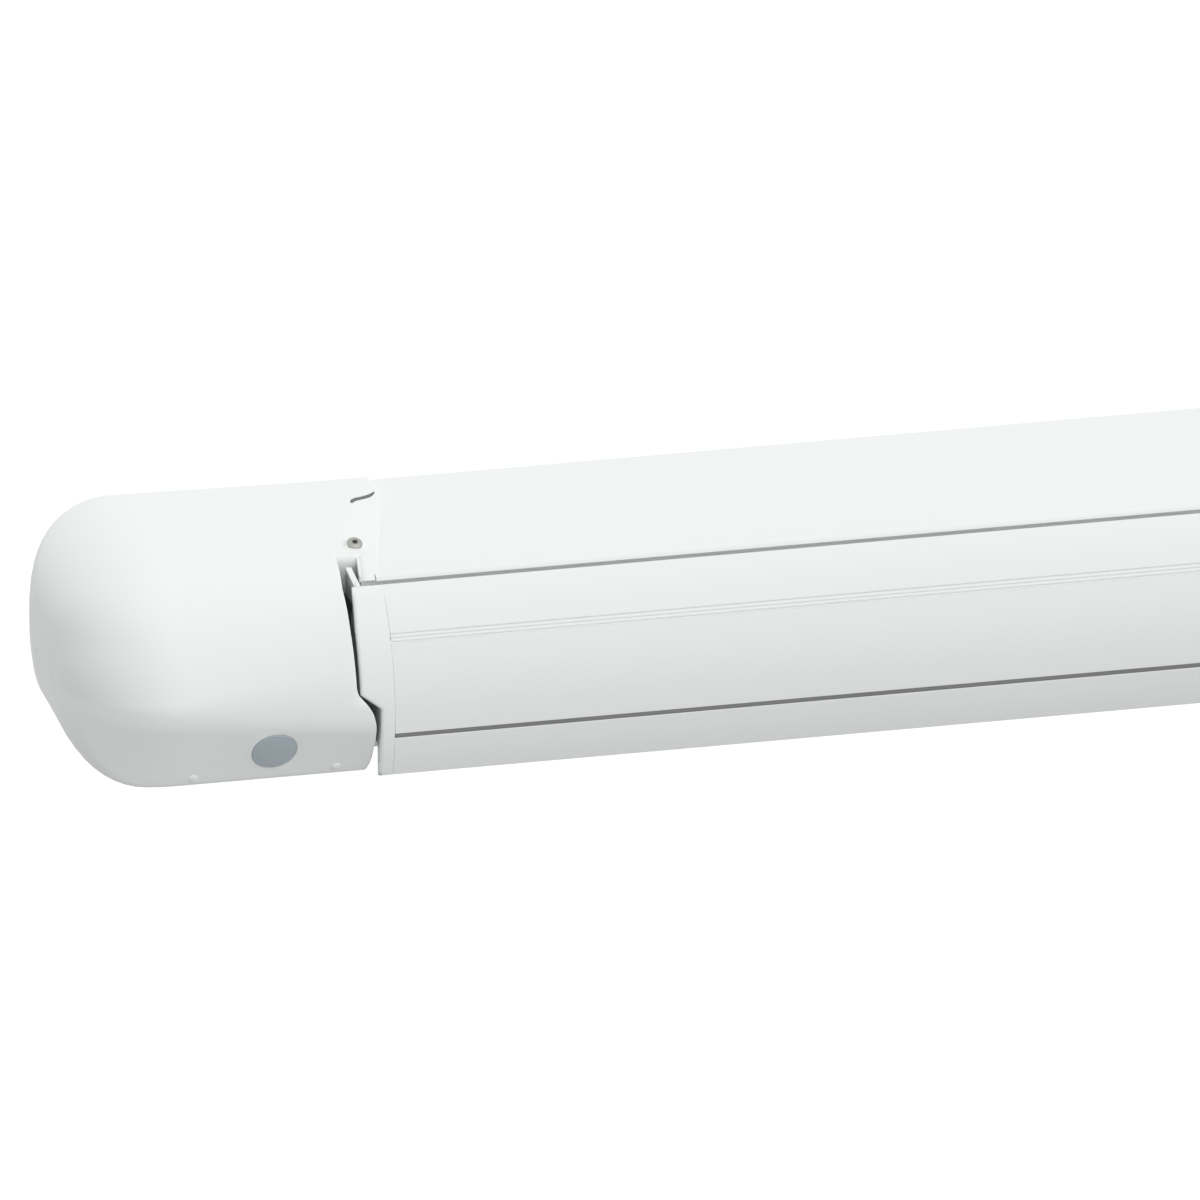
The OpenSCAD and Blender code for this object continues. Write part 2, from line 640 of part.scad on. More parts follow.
module shoulder_bolts() color(steel) seat() both() shoulder_bolt_places() {
    translate([0, 0, 0.5]) cylinder(r = mount_r, h = wall + foot_t);
    translate([0, 0, wall + foot_t]) cylinder(r = mount_r * 1.6, h = bolt_head, $fn = 6);
}

module mounting_nuts() color(steel) seat() difference() {
    both() block([-mount_x - nut_w / 2, -mount_d - nut_w / 2, wall],
        [-mount_x + nut_w / 2, -mount_d + nut_w / 2, wall + nut_t]);
    mount_holes(mount_r);
}

// Lead bar
module front_disc(inset) translate([front_r - case_d, front_mid]) circle(r = front_r - inset, $fn = 180);

module bar_outline() intersection() {
    front_disc(0);
    polygon([[-case_d - 10, 0], [-bar_back, 0], [-bar_back, shelf_h], [-cell_back, shelf_h],
        [-cell_back, hem_h - hem_block], [-hem_d + hem_block, hem_h - hem_block],
        [-hem_d + hem_block, hem_h + hem_block - 0.5], [-nose_d + 7, hem_h + hem_block - 0.5],
        [-lip_d, bar_top - 2.1], [-lip_d, lip_top - 0.6], [-front_at(lip_top), lip_top],
        [-case_d - 10, lip_top]]);
}
module bar_cell() intersection() {
    front_disc(bar_wall);
    polygon([[-bay_back, bay_h + bar_wall], [-bay_back, shelf_h - bar_wall],
        [-cell_back - bar_wall, shelf_h - bar_wall], [-cell_back - bar_wall, hem_h - hem_block - 2],
        [-hem_d - hem_block - 2, hem_h - 4], [-hem_d - hem_block - 2, bar_top - 6],
        [-nose_d - 3, bar_top - 4], [-case_d, bar_top - 4], [-case_d, bay_h + bar_wall]]);
}
// Rail for accessories: a narrow mouth in front of a round bottom
module rail_shape(r, mouth, out) {
    translate([-case_d + rail_d / 2 - 0.6, rail_h]) circle(r);
    translate([-case_d - out, rail_h - mouth / 2]) square([rail_d / 2 + out, mouth]);
}
module hem_channel() translate([-hem_d, hem_h]) {
    circle(hem_room);
    rotate(pitch) translate([0, -hem_room]) square([15, 2 * hem_room]);
}
module grooves() for (i = [-1 : 1])
    translate([-front_at(groove_h + i * groove_step), groove_h + i * groove_step]) circle(groove_r);
bar_screw_at = [[-case_d + 7.6, 12], [-cell_back - bar_wall - 3, shelf_h + 4]];

module lead_bar_profile() color(bar_white) seat() difference() {
    along_x(-bar_end, bar_end) difference() {
        bar_outline();
        difference() {
            bar_cell();
            translate(bar_screw_at[1]) circle(5);
        }
        translate([-bay_front, -cut]) square([2 * lane_w, bay_h + cut]);
        rail_shape(rail_r, rail_mouth, 5);
        hem_channel();
        grooves();
        for (at = bar_screw_at) translate(at) circle(screw_r + fit);
    }
}

// Moulded cap on the end of the lead bar, with a stepped edge and a fin that enters the end cap's notch
module bar_cap() difference() {
    union() {
        along_x(-bar_end - bar_cap_short, -bar_end) bar_outline();
        intersection() {
            along_x(-bar_end - bar_cap_long, -bar_end) bar_outline();
            along_y(nose_d, case_d + cut) polygon([[-bar_end - bar_cap_long, step_h],
                [-bar_end - bar_cap_short, step_h - step_fall], [-bar_end, step_h - step_fall],
                [-bar_end, case_h], [-bar_end - bar_cap_long + bar_cap_slant, case_h]]);
        }
        along_x(-bar_end - bar_cap_long + fin_in, -bar_end - bar_cap_long + fin_in + fin_t)
            polygon([[-lip_d - 0.5, lip_top - 0.6], [-nose_d + fin_back, lip_top + fin_rise],
                [-nose_d + fin_back, bar_top - 12], [-lip_d - 0.5, bar_top - 12]]);
    }
    for (at = bar_screw_at)
        rod_x(-bar_end - bar_cap_long - cut, -bar_end + cut, -at[0], at[1], screw_r + fit);
    along_x(-bar_end - bar_cap_short - cut, -bar_end + cut) hem_channel();
    block([-bar_end - bar_cap_short - cut, -bay_front, -cut],
        [-bar_end + cut, -bay_back - bar_wall, bay_h - bay_rim]);
}
module left_bar_cap() color(cap_white) seat() bar_cap();
module right_bar_cap() color(cap_white) mirrored() seat() bar_cap();

module rail_filler() color(black) seat() along_x(-bar_end + 0.5, bar_end - 0.5) intersection() {
    rail_shape(rail_r - 0.1, rail_mouth - 0.2, 0);
    front_disc(1.6);
}

module bar_cap_screws() color(steel) seat() both() for (at = bar_screw_at)
    rod_x(-bar_end - bar_cap_short + 1, -bar_end + bar_screw_l, -at[0], at[1], screw_r);

module wrist_brackets() color(cast_grey) seat() both() difference() {
    union() {
        block([-shoulder_x - 26, -bar_back, wrist_plate[0]],
            [-shoulder_x + 26, -bar_back + cheek_t, wrist_plate[1]]);
        arm_frame() bracket_cheeks() {
            translate([-shoulder_x, -arm_step]) circle(fork_r);
            translate([-shoulder_x - fork_r, -arm_step - wrist_reach - 6])
                square([2 * fork_r, wrist_reach + 6]);
        }
    }
    arm_frame() pin_bore(-shoulder_x, -arm_step, fit);
    block([-half, -bar_back - 50, 0], [half, -bar_back, case_h]);
}

module wrist_pins() color(steel) seat() both() arm_frame() pivot_pin(-shoulder_x, -arm_step, cheek_out);

// Legs, drawn from their pivot along +X
module leg_place(lane) translate([-leg_x, -bay_front + lane_w * (lane + 0.5), leg_h]) children();
module rod_across(x, w, r) translate([x, -w / 2, 0]) rotate([-90, 0, 0]) cylinder(r = r, h = w);
module square_bar(x0, x1, w) block([x0, -w / 2, -w / 2], [x1, w / 2, w / 2]);

module leg_tube() difference() {
    union() {
        rod_across(0, leg_w, leg_w / 2);
        square_bar(0, leg_len, leg_w);
    }
    square_bar(40, leg_len + cut, leg_w - 2 * leg_wall);
    rod_across(0, leg_w + 2, leg_pin_r + run);
}
// Collar at the mouth of the outer tube, with two lugs for the lever below
module leg_collar() {
    difference() {
        square_bar(leg_len - collar_l + 3, leg_len + 3, collar_w);
        square_bar(leg_len - collar_l, leg_len, leg_w + 2 * fit);
        square_bar(leg_len - cut, leg_len + 4, inner_w + 0.4);
    }
    for (side = [-1, 1]) difference() {
        block([leg_len - collar_l + 4, side * 7.5 - 1.2, -leg_h + 0.4],
            [leg_len - collar_l + 9, side * 7.5 + 1.2, -collar_w / 2]);
        translate([leg_len - collar_l + 6.5, 0, -leg_h + 1.9]) rod_across(0, 30, 0.9 + run);
    }
}
module leg_lever() translate([leg_len - collar_l + 6.5, 0, -leg_h + 1.9]) {
    rod_across(0, 17, 0.9);
    rod_across(0, 12, 1.2);
    block([0, -6, -1.2], [40, 6, 0.9]);
}
// Inner tube with a solid tip and a tongue for the foot
module leg_inner() difference() {
    union() {
        square_bar(inner_from, inner_to, inner_w);
        rod_across(foot_x, 8, 5);
        block([inner_to - cut, -4, -5], [foot_x, 4, 5]);
    }
    square_bar(inner_from - cut, inner_to - 6, inner_w - 2 * leg_wall);
    rod_across(foot_x, 20, 2.5 + run);
}
module leg_foot() translate([foot_x, 0, 0]) {
    rod_across(0, 17, 2.5);
    for (side = [-1, 1]) block([-4.5, side * 6.5 - 2, -4.5], [8, side * 6.5 + 2, 4.5]);
    block([7, -10.5, -8], [14, 10.5, 8]);
}

module left_leg_tube() color(cap_white) seat() leg_place(0) leg_tube();
module left_leg_collar() color(black) seat() leg_place(0) leg_collar();
module left_leg_lever() color(black) seat() leg_place(0) leg_lever();
module left_leg_inner() color(mill_grey) seat() leg_place(0) leg_inner();
module left_leg_foot() color(black) seat() leg_place(0) leg_foot();
module right_leg_tube() color(cap_white) mirrored() seat() leg_place(1) leg_tube();
module right_leg_collar() color(black) mirrored() seat() leg_place(1) leg_collar();
module right_leg_lever() color(black) mirrored() seat() leg_place(1) leg_lever();
module right_leg_inner() color(mill_grey) mirrored() seat() leg_place(1) leg_inner();
module right_leg_foot() color(black) mirrored() seat() leg_place(1) leg_foot();

// Plates beside each leg's pivot and the pins through them
module hinge_plates() for (side = [-1, 1]) difference() {
    block([-10, min(side * lane_w / 2, side * (leg_w / 2 + 0.3)), -10],
        [10, max(side * lane_w / 2, side * (leg_w / 2 + 0.3)), bay_h - leg_h]);
    rod_across(0, 2 * lane_w, leg_pin_r + fit);
}
module leg_hinge_plates() color(steel) {
    seat() leg_place(0) hinge_plates();
    mirrored() seat() leg_place(1) hinge_plates();
}
module leg_pins() color(steel) {
    seat() leg_place(0) rod_across(0, lane_w - 0.2, leg_pin_r);
    mirrored() seat() leg_place(1) rod_across(0, lane_w - 0.2, leg_pin_r);
}

rear_profile();
top_cover();
left_end_cap();
right_end_cap();
left_end_plate();
right_end_plate();
tube_motor();
idle_bush();
nose_seal();
cap_screws();
cap_studs();
shoulder_brackets();
shoulder_pins();
shoulder_bolts();
mounting_nuts();
canopy();
override_plug();
roller_tube();
drive_wheel();
bearing_ring();
idle_plug();
cloth_roll();
hem_rod();
left_shoulder_knuckle();
left_upper_tube();
left_elbow_fork();
left_elbow_pin();
left_arm_spring();
left_elbow_tongue();
left_forearm_tube();
left_wrist_knuckle();
right_shoulder_knuckle();
right_upper_tube();
right_elbow_fork();
right_elbow_pin();
right_arm_spring();
right_elbow_tongue();
right_forearm_tube();
right_wrist_knuckle();
lead_bar_profile();
left_bar_cap();
right_bar_cap();
rail_filler();
bar_cap_screws();
wrist_brackets();
wrist_pins();
leg_hinge_plates();
leg_pins();
left_leg_tube();
left_leg_collar();
left_leg_lever();
left_leg_inner();
left_leg_foot();
right_leg_tube();
right_leg_collar();
right_leg_lever();
right_leg_inner();
right_leg_foot();
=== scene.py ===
# %% [markdown]
# # A roll out awning for a camper
# The awning is a long white case. A cloth sits on a roller inside it, two folding arms push a lead bar
# out, and the lead bar closes the front when it is in. This lesson dresses the exact solids for a
# picture: it models the pieces with soft forms anew, softens the edges of the others, and gives each one
# a finish built from nodes.

# %% Load the solids
import json
import math

import bmesh
import bpy
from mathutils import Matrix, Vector


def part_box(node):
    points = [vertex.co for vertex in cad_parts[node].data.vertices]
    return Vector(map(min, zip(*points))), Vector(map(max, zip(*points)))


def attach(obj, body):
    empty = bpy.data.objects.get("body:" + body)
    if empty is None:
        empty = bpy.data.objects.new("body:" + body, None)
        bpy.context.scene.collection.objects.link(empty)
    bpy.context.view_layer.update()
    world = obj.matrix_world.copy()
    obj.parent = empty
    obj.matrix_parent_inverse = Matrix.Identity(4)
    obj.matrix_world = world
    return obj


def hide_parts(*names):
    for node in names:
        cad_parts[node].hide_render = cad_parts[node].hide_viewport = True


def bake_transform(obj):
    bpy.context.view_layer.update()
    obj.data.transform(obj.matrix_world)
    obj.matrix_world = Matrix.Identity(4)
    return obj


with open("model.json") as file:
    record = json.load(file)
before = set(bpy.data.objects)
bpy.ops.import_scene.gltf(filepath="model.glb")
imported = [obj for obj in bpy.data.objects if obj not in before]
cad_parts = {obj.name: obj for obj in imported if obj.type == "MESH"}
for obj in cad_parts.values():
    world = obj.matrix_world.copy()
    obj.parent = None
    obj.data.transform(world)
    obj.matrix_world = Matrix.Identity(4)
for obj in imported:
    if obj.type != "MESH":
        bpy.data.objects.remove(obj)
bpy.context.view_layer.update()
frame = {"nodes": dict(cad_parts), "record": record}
MM = 0.001

# %% [markdown]
# ## Places on the awning
# All sizes below are in millimetres. A place near an end is counted from the seam between the nose of the
# case and the end cap: along is positive towards the middle, front is the depth from the flat back, and
# height is counted from the underside of the case. The left end is modelled, and mirrored where the right
# end is alike.

# %% A place near the left end
SEAM = 1395
UNDERSIDE = -63


def place(along, front, height):
    return Vector((along - SEAM, -front, height + UNDERSIDE)) * MM


SEAM_CORNER = place(0, 174, 122)
print("seam corner:", [round(c, 4) for c in SEAM_CORNER])

# %% [markdown]
# ## The camera
# The edges along the case stay parallel in the picture, so it was taken from far away through a long
# lens. It looks 20 degrees down and comes from the left by about 14 degrees. A parallel camera would also
# do, but the other views are easier with a normal one, so this is a normal camera with a very long lens,
# 25 metres away.

# %% Camera
TURN = math.radians(14.35)
TILT = math.radians(20)
PIXELS = 1200
PIXELS_PER_METRE = 1580
SEAM_PIXEL = (378, 581)
DISTANCE = 25.3
SENSOR = 36
sight = Vector((math.sin(TURN) * math.cos(TILT), math.cos(TURN) * math.cos(TILT), -math.sin(TILT)))
rightwards = Vector((math.cos(TURN), -math.sin(TURN), 0))
upwards = rightwards.cross(sight)
aim = SEAM_CORNER + rightwards * (PIXELS / 2 - SEAM_PIXEL[0]) / PIXELS_PER_METRE
aim -= upwards * (PIXELS / 2 - SEAM_PIXEL[1]) / PIXELS_PER_METRE
camera = bpy.data.objects.new("camera", bpy.data.cameras.new("camera"))
camera.data.sensor_width = SENSOR
camera.data.lens = SENSOR * DISTANCE * PIXELS_PER_METRE / PIXELS
camera.data.clip_end = 500
camera.location = aim - sight * DISTANCE
camera.rotation_euler = sight.to_track_quat("-Z", "Y").to_euler()
bpy.context.collection.objects.link(camera)
bpy.context.scene.camera = camera
print("lens:", round(camera.data.lens), "mm")

# %% [markdown]
# ## Floor and light
# The picture is a product shot: an even sky that is a little darker on the left, a paler ground, and a
# weak soft key from the front right. The sky is grey for the light, and white where the camera or a
# reflection looks at it. The floor does the same. It lies below the feet of the legs when they are pulled
# out.

# %% Seen directly or not


def seen_directly(tree):
    """A socket that is 1 for the camera, reflections and glass, and 0 for the light on other things."""
    rays = tree.nodes.new("ShaderNodeLightPath")
    total = rays.outputs["Is Camera Ray"]
    for kind in ("Is Glossy Ray", "Is Transmission Ray"):
        add = tree.nodes.new("ShaderNodeMath")
        add.operation = "ADD"
        add.use_clamp = True
        tree.links.new(total, add.inputs[0])
        tree.links.new(rays.outputs[kind], add.inputs[1])
        total = add.outputs[0]
    return total


# %% World and key light
SKY_LEVEL = {"From Min": -1, "From Max": 0.1, "To Min": 0.56, "To Max": 1.05}
KEY_STRENGTH = 0.42
KEY_RAYS = Vector((-0.3, 0.6, -0.74))
KEY_SPREAD = math.radians(50)
world = bpy.data.worlds.new("studio")
bpy.context.scene.world = world
world.use_nodes = True
tree = world.node_tree
tree.nodes.clear()
sky = tree.nodes.new("ShaderNodeBackground")
sky.inputs["Color"].default_value = (1, 1, 1, 1)
facing = tree.nodes.new("ShaderNodeTexCoord")
parts = tree.nodes.new("ShaderNodeSeparateXYZ")
level = tree.nodes.new("ShaderNodeMapRange")
for socket, value in SKY_LEVEL.items():
    level.inputs[socket].default_value = value
tree.links.new(facing.outputs["Generated"], parts.inputs[0])
tree.links.new(parts.outputs["X"], level.inputs["Value"])
tree.links.new(level.outputs["Result"], sky.inputs["Strength"])
white = tree.nodes.new("ShaderNodeBackground")
white.inputs["Color"].default_value = (1, 1, 1, 1)
either = tree.nodes.new("ShaderNodeMixShader")
out = tree.nodes.new("ShaderNodeOutputWorld")
tree.links.new(seen_directly(tree), either.inputs["Fac"])
tree.links.new(sky.outputs[0], either.inputs[1])
tree.links.new(white.outputs[0], either.inputs[2])
tree.links.new(either.outputs[0], out.inputs["Surface"])

key = bpy.data.objects.new("key", bpy.data.lights.new("key", "SUN"))
key.data.energy = KEY_STRENGTH
key.data.angle = KEY_SPREAD
key.rotation_euler = KEY_RAYS.to_track_quat("-Z", "Y").to_euler()
bpy.context.collection.objects.link(key)
bpy.context.scene.view_settings.view_transform = "Standard"
print("sky and key light are set")

# %% Floor
FLOOR = -2.45
FLOOR_HALF = 40
BOUNCE = 0.43
PAPER = 0.95
LIFT = 0.12


def grey(level):
    return (level, level, level, 1)


bm = bmesh.new()
bmesh.ops.create_grid(bm, x_segments=1, y_segments=1, size=FLOOR_HALF)
bmesh.ops.translate(bm, verts=bm.verts, vec=(0, 0, FLOOR))
mesh = bpy.data.meshes.new("floor")
bm.to_mesh(mesh)
bm.free()
floor = bpy.data.objects.new("floor", mesh)
bpy.context.collection.objects.link(floor)
paper = bpy.data.materials.new("floor_paper")
paper.use_nodes = True
tree = paper.node_tree
tree.nodes.clear()
bounce = tree.nodes.new("ShaderNodeBsdfDiffuse")
bounce.inputs["Color"].default_value = grey(BOUNCE)
sheet = tree.nodes.new("ShaderNodeBsdfDiffuse")
sheet.inputs["Color"].default_value = grey(PAPER)
lift = tree.nodes.new("ShaderNodeEmission")
lift.inputs["Color"].default_value = grey(LIFT)
bright = tree.nodes.new("ShaderNodeAddShader")
either = tree.nodes.new("ShaderNodeMixShader")
out = tree.nodes.new("ShaderNodeOutputMaterial")
tree.links.new(sheet.outputs[0], bright.inputs[0])
tree.links.new(lift.outputs[0], bright.inputs[1])
tree.links.new(seen_directly(tree), either.inputs["Fac"])
tree.links.new(bounce.outputs[0], either.inputs[1])
tree.links.new(bright.outputs[0], either.inputs[2])
tree.links.new(either.outputs[0], out.inputs["Surface"])
floor.data.materials.append(paper)
print("floor at", FLOOR, "m")

# %% [markdown]
# ## Finishes
# Each finish is a Principled shader with its colour, its roughness and a fine bump from noise on the
# object's own coordinates. A picture of the surface would be quicker to paint, but nodes stay sharp at
# any distance and need no map on the mesh. Sizes are in waves per metre, so 1400 gives a grain of about
# 0.7 mm.

# %% Finish with a grain
CLOUDS = 7
ROUGH_SPREAD = 0.06
GRAIN_DEPTH = 0.0003


def finish(name, colour, rough, grain, bump, metal=0.0, spread=0.03, stretch=(1, 1, 1), shine=0.5):
    made = bpy.data.materials.new(name)
    made.use_nodes = True
    made.diffuse_color = (*colour, 1)
    tree = made.node_tree
    shader = tree.nodes["Principled BSDF"]
    shader.inputs["Metallic"].default_value = metal
    shader.inputs["Specular IOR Level"].default_value = shine
    where = tree.nodes.new("ShaderNodeTexCoord")
    mapping = tree.nodes.new("ShaderNodeMapping")
    mapping.inputs["Scale"].default_value = stretch
    tree.links.new(where.outputs["Object"], mapping.inputs["Vector"])
    fine = tree.nodes.new("ShaderNodeTexNoise")
    fine.inputs["Scale"].default_value = grain
    fine.inputs["Detail"].default_value = 3
    tree.links.new(mapping.outputs["Vector"], fine.inputs["Vector"])
    wide = tree.nodes.new("ShaderNodeTexNoise")
    wide.inputs["Scale"].default_value = CLOUDS
    wide.inputs["Detail"].default_value = 4
    tree.links.new(mapping.outputs["Vector"], wide.inputs["Vector"])
    tint = tree.nodes.new("ShaderNodeValToRGB")
    tint.color_ramp.elements[0].position = 0.3
    tint.color_ramp.elements[0].color = (*[c * (1 - spread) for c in colour], 1)
    tint.color_ramp.elements[1].position = 0.7
    tint.color_ramp.elements[1].color = (*colour, 1)
    tree.links.new(wide.outputs["Fac"], tint.inputs["Fac"])
    tree.links.new(tint.outputs["Color"], shader.inputs["Base Color"])
    dull = tree.nodes.new("ShaderNodeMapRange")
    dull.inputs["To Min"].default_value = rough - ROUGH_SPREAD
    dull.inputs["To Max"].default_value = rough + ROUGH_SPREAD
    tree.links.new(fine.outputs["Fac"], dull.inputs["Value"])
    tree.links.new(dull.outputs["Result"], shader.inputs["Roughness"])
    relief = tree.nodes.new("ShaderNodeBump")
    relief.inputs["Strength"].default_value = bump
    relief.inputs["Distance"].default_value = GRAIN_DEPTH
    tree.links.new(fine.outputs["Fac"], relief.inputs["Height"])
    tree.links.new(relief.outputs["Normal"], shader.inputs["Normal"])
    return made


FINISHES = {
    "cap_plastic": finish("moulded_white", (0.858, 0.888, 0.872), 0.5, 900, 0.06, spread=0.01, shine=0.2),
    "white_coat": finish("powder_coat", (0.853, 0.882, 0.866), 0.52, 700, 0.09, spread=0.01, shine=0.2),
    "mill_aluminium": finish("drawn_aluminium", (0.72, 0.73, 0.74), 0.36, 1500, 0.15, 1.0,
                             stretch=(0.02, 1, 1)),
    "cast_aluminium": finish("cast_aluminium", (0.6, 0.61, 0.63), 0.5, 1100, 0.5, 1.0, 0.12),
    "steel": finish("zinc_steel", (0.66, 0.66, 0.64), 0.34, 1300, 0.15, 1.0, 0.1),
    "dull_steel": finish("dull_steel", (0.45, 0.45, 0.42), 0.42, 1300, 0.15, 1.0, 0.1),
    "grey_strip": finish("grey_strip", (0.3, 0.3, 0.29), 0.6, 1400, 0.2, spread=0.1, shine=0.3),
    "black_plastic": finish("black_plastic", (0.13, 0.13, 0.135), 0.5, 1400, 0.25, spread=0.2),
    "dark_rubber": finish("dark_rubber", (0.055, 0.06, 0.06), 0.72, 1600, 0.4, spread=0.25, shine=0.3),
    "plug_plastic": finish("plug_grey", (0.435, 0.495, 0.535), 0.48, 1200, 0.12, spread=0.04, shine=0.25),
}
print("finishes:", len(FINISHES))

# %% [markdown]
# ## The cloth's finish
# Awning cloth is a plain weave under a thin coating. Two wave textures at right angles follow the piece's
# own UV map, in metres of cloth, so the threads run with the sheet also where it bends or is wound on the
# roller.

# %% Woven finish
THREADS = 320
THREAD_DEPTH = 0.0002


def woven(name, colour):
    made = finish(name, colour, 0.8, 900, 0.2, spread=0.1)
    tree = made.node_tree
    shader = tree.nodes["Principled BSDF"]
    uv = tree.nodes.new("ShaderNodeTexCoord")
    threads = []
    for axis in ("X", "Y"):
        wave = tree.nodes.new("ShaderNodeTexWave")
        wave.bands_direction = axis
        wave.inputs["Scale"].default_value = THREADS
        tree.links.new(uv.outputs["UV"], wave.inputs["Vector"])
        threads.append(wave)
    cross = tree.nodes.new("ShaderNodeMath")
    cross.operation = "MAXIMUM"
    tree.links.new(threads[0].outputs["Fac"], cross.inputs[0])
    tree.links.new(threads[1].outputs["Fac"], cross.inputs[1])
    relief = tree.nodes.new("ShaderNodeBump")
    relief.inputs["Strength"].default_value = 0.35
    relief.inputs["Distance"].default_value = THREAD_DEPTH
    tree.links.new(cross.outputs[0], relief.inputs["Height"])
    tree.links.new(relief.outputs["Normal"], shader.inputs["Normal"])
    return made


FINISHES["awning_cloth"] = woven("awning_cloth", (0.3, 0.33, 0.37))
slot_of = {part["node"]: part["material_slot"] for part in frame["record"]["subparts"]}
for name, node in frame["nodes"].items():
    for own in node.material_slots:
        own.material = FINISHES[slot_of[name]]
print("dressed nodes:", len(slot_of))

# %% [markdown]
# ## A finished piece
# Every new piece goes the same way: its mesh becomes an object at the origin, its faces are smooth except
# over sharp edges, it takes its finish, it stands for its solids and it rides on their body.

# %% Hand over a piece


def piece(bm, name, body, slot, stands_for=(), sharp=35, look=None):
    mesh = bpy.data.meshes.new(name)
    bm.to_mesh(mesh)
    bm.free()
    made = bpy.data.objects.new(name, mesh)
    bpy.context.collection.objects.link(made)
    mesh.shade_smooth()
    mesh.set_sharp_from_angle(angle=math.radians(sharp))
    mesh.materials.append(FINISHES[look or slot])
    if stands_for:
        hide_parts(*stands_for)
    if body:
        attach(made, body)
    print(name, len(mesh.polygons), "faces")
    return made


# %% [markdown]
# ## Softer edges on the solids
# A real casting, extrusion or moulding has no knife edge, and a thin bright line along its edges is what
# makes it look solid. Most solids only need that: a copy is merged, its flat triangles are joined into
# whole faces, and the sharp edges get a small bevel. The weighted normals keep the large faces flat
# beside it. On the lead bar and the top cover an edge is shifted first, so that the line between them is
# as wide as on the real one.

# %% Bevel a copy of a solid
body_of = {node: body for body, members in frame["record"]["behaviour"]["bodies"].items() for node in members}


def merged_copy(name, move=None):
    """A copy of a solid in whole faces. A move may shift its points."""
    bm = bmesh.new()
    bm.from_mesh(frame["nodes"][name].data)
    bmesh.ops.remove_doubles(bm, verts=bm.verts, dist=0.00001)
    bmesh.ops.dissolve_limit(bm, angle_limit=math.radians(0.5), verts=bm.verts, edges=bm.edges)
    if move:
        for v in bm.verts:
            move(v.co)
    return bm


def sharp_edges(bm, degrees, least):
    sharp = [e for e in bm.edges if len(e.link_faces) == 2 and e.calc_face_angle() > math.radians(degrees)]
    return [e for e in sharp if e.calc_length() > least * MM]


def rounded(bm, edges, width, segments=2, clamp=False):
    bmesh.ops.bevel(bm, geom=edges, offset=width * MM, offset_type="OFFSET", segments=segments, profile=0.5,
                    affect="EDGES", material=-1, clamp_overlap=clamp)


def dressed(bm, name, look=None):
    made = piece(bm, name + "_dressed", body_of[name], slot_of[name], (name,), sharp=50, look=look)
    even = made.modifiers.new("even", "WEIGHTED_NORMAL")
    even.keep_sharp = True


def softened(name, width, least=0, move=None, look=None):
    """Bevel the sharp edges of a copy. With a least length, shorter edges stay sharp and don't narrow it."""
    bm = merged_copy(name, move)
    rounded(bm, sharp_edges(bm, 28, least), width, clamp=not least)
    dressed(bm, name, look)


# %% Two shifted edges
LIP_FRONT = 171.2
LIP_HEIGHT = 119
LIP_DROP = 1.1
BEAD_END = 166


def lower_lip(co):
    """The lip along the lead bar's top edge ends a little below the nose and leaves a dark line."""
    if co.z / MM - UNDERSIDE > LIP_HEIGHT and -co.y / MM > LIP_FRONT:
        co.z -= LIP_DROP * MM


def shorten_bead(co):
    """The bead under the top cover ends further back, because the nose strip goes over it."""
    co.y = max(co.y, -BEAD_END * MM)


print("lip lower by", LIP_DROP, "mm, bead up to", BEAD_END, "mm")

# %% Soft edges
SOFT_EDGES = {
    0.9: ["left_leg_foot", "right_leg_foot"],
    0.6: [side + part for side in ("left_", "right_") for part in (
        "shoulder_knuckle", "elbow_fork", "elbow_tongue", "wrist_knuckle", "end_plate", "upper_tube",
        "forearm_tube", "leg_tube", "leg_collar", "leg_lever")],
    0.3: ["rear_profile", "shoulder_brackets", "wrist_brackets", "leg_hinge_plates", "left_leg_inner",
          "right_leg_inner", "shoulder_bolts", "bar_cap_screws", "mounting_nuts", "tube_motor", "idle_bush",
          "drive_wheel", "bearing_ring", "idle_plug", "nose_seal"],
}
for width, names in SOFT_EDGES.items():
    for name in names:
        softened(name, width)
softened("lead_bar_profile", 0.5, 1.6, move=lower_lip)
softened("top_cover", 0.3, move=shorten_bead)
softened("rail_filler", 0.3, look="grey_strip")

# %% [markdown]
# ## The lead bar's caps
# The cap on each end of the lead bar is moulded, and its outer edge beside the end cap is much rounder
# than its other edges. So the copy is bevelled twice: widely on the outer edge of the front, and finely
# on the rest. Its outer side stands upright, and leans in only near the top, so the points there are
# shifted before.

# %% Rounder outer edge
BOW_R = 111
BOW_AT = (95.5, 40)
CAP_OUT = 19
CAP_LEAN = 2.2
LEAN_FROM = 97
LEAN_RUN = 23
FIN_FRONT = 172.2
FIN_HEIGHT = 104


def front_of_bar(height):
    return BOW_AT[0] + math.sqrt(BOW_R ** 2 - (height - BOW_AT[1]) ** 2)


def outer_edge(e):
    for v in e.verts:
        height = v.co.z / MM - UNDERSIDE
        on_front = -v.co.y / MM > front_of_bar(height) - 0.7
        if abs(v.co.x) / MM < SEAM + 5 or height > LIP_HEIGHT or not on_front:
            return False
    return True


def stand_upright(co):
    """Lower the lip, and stand the outer side upright. The fin behind the lip stays as it is."""
    lower_lip(co)
    height = co.z / MM - UNDERSIDE
    front = -co.y / MM
    fin = front < FIN_FRONT and height > FIN_HEIGHT
    if abs(co.x) / MM > SEAM + 7 and front > 167 and height > 56 and not fin:
        out = SEAM + CAP_OUT - CAP_LEAN * min(1, max(0, (height - LEAN_FROM) / LEAN_RUN))
        co.x = math.copysign(out * MM, co.x)


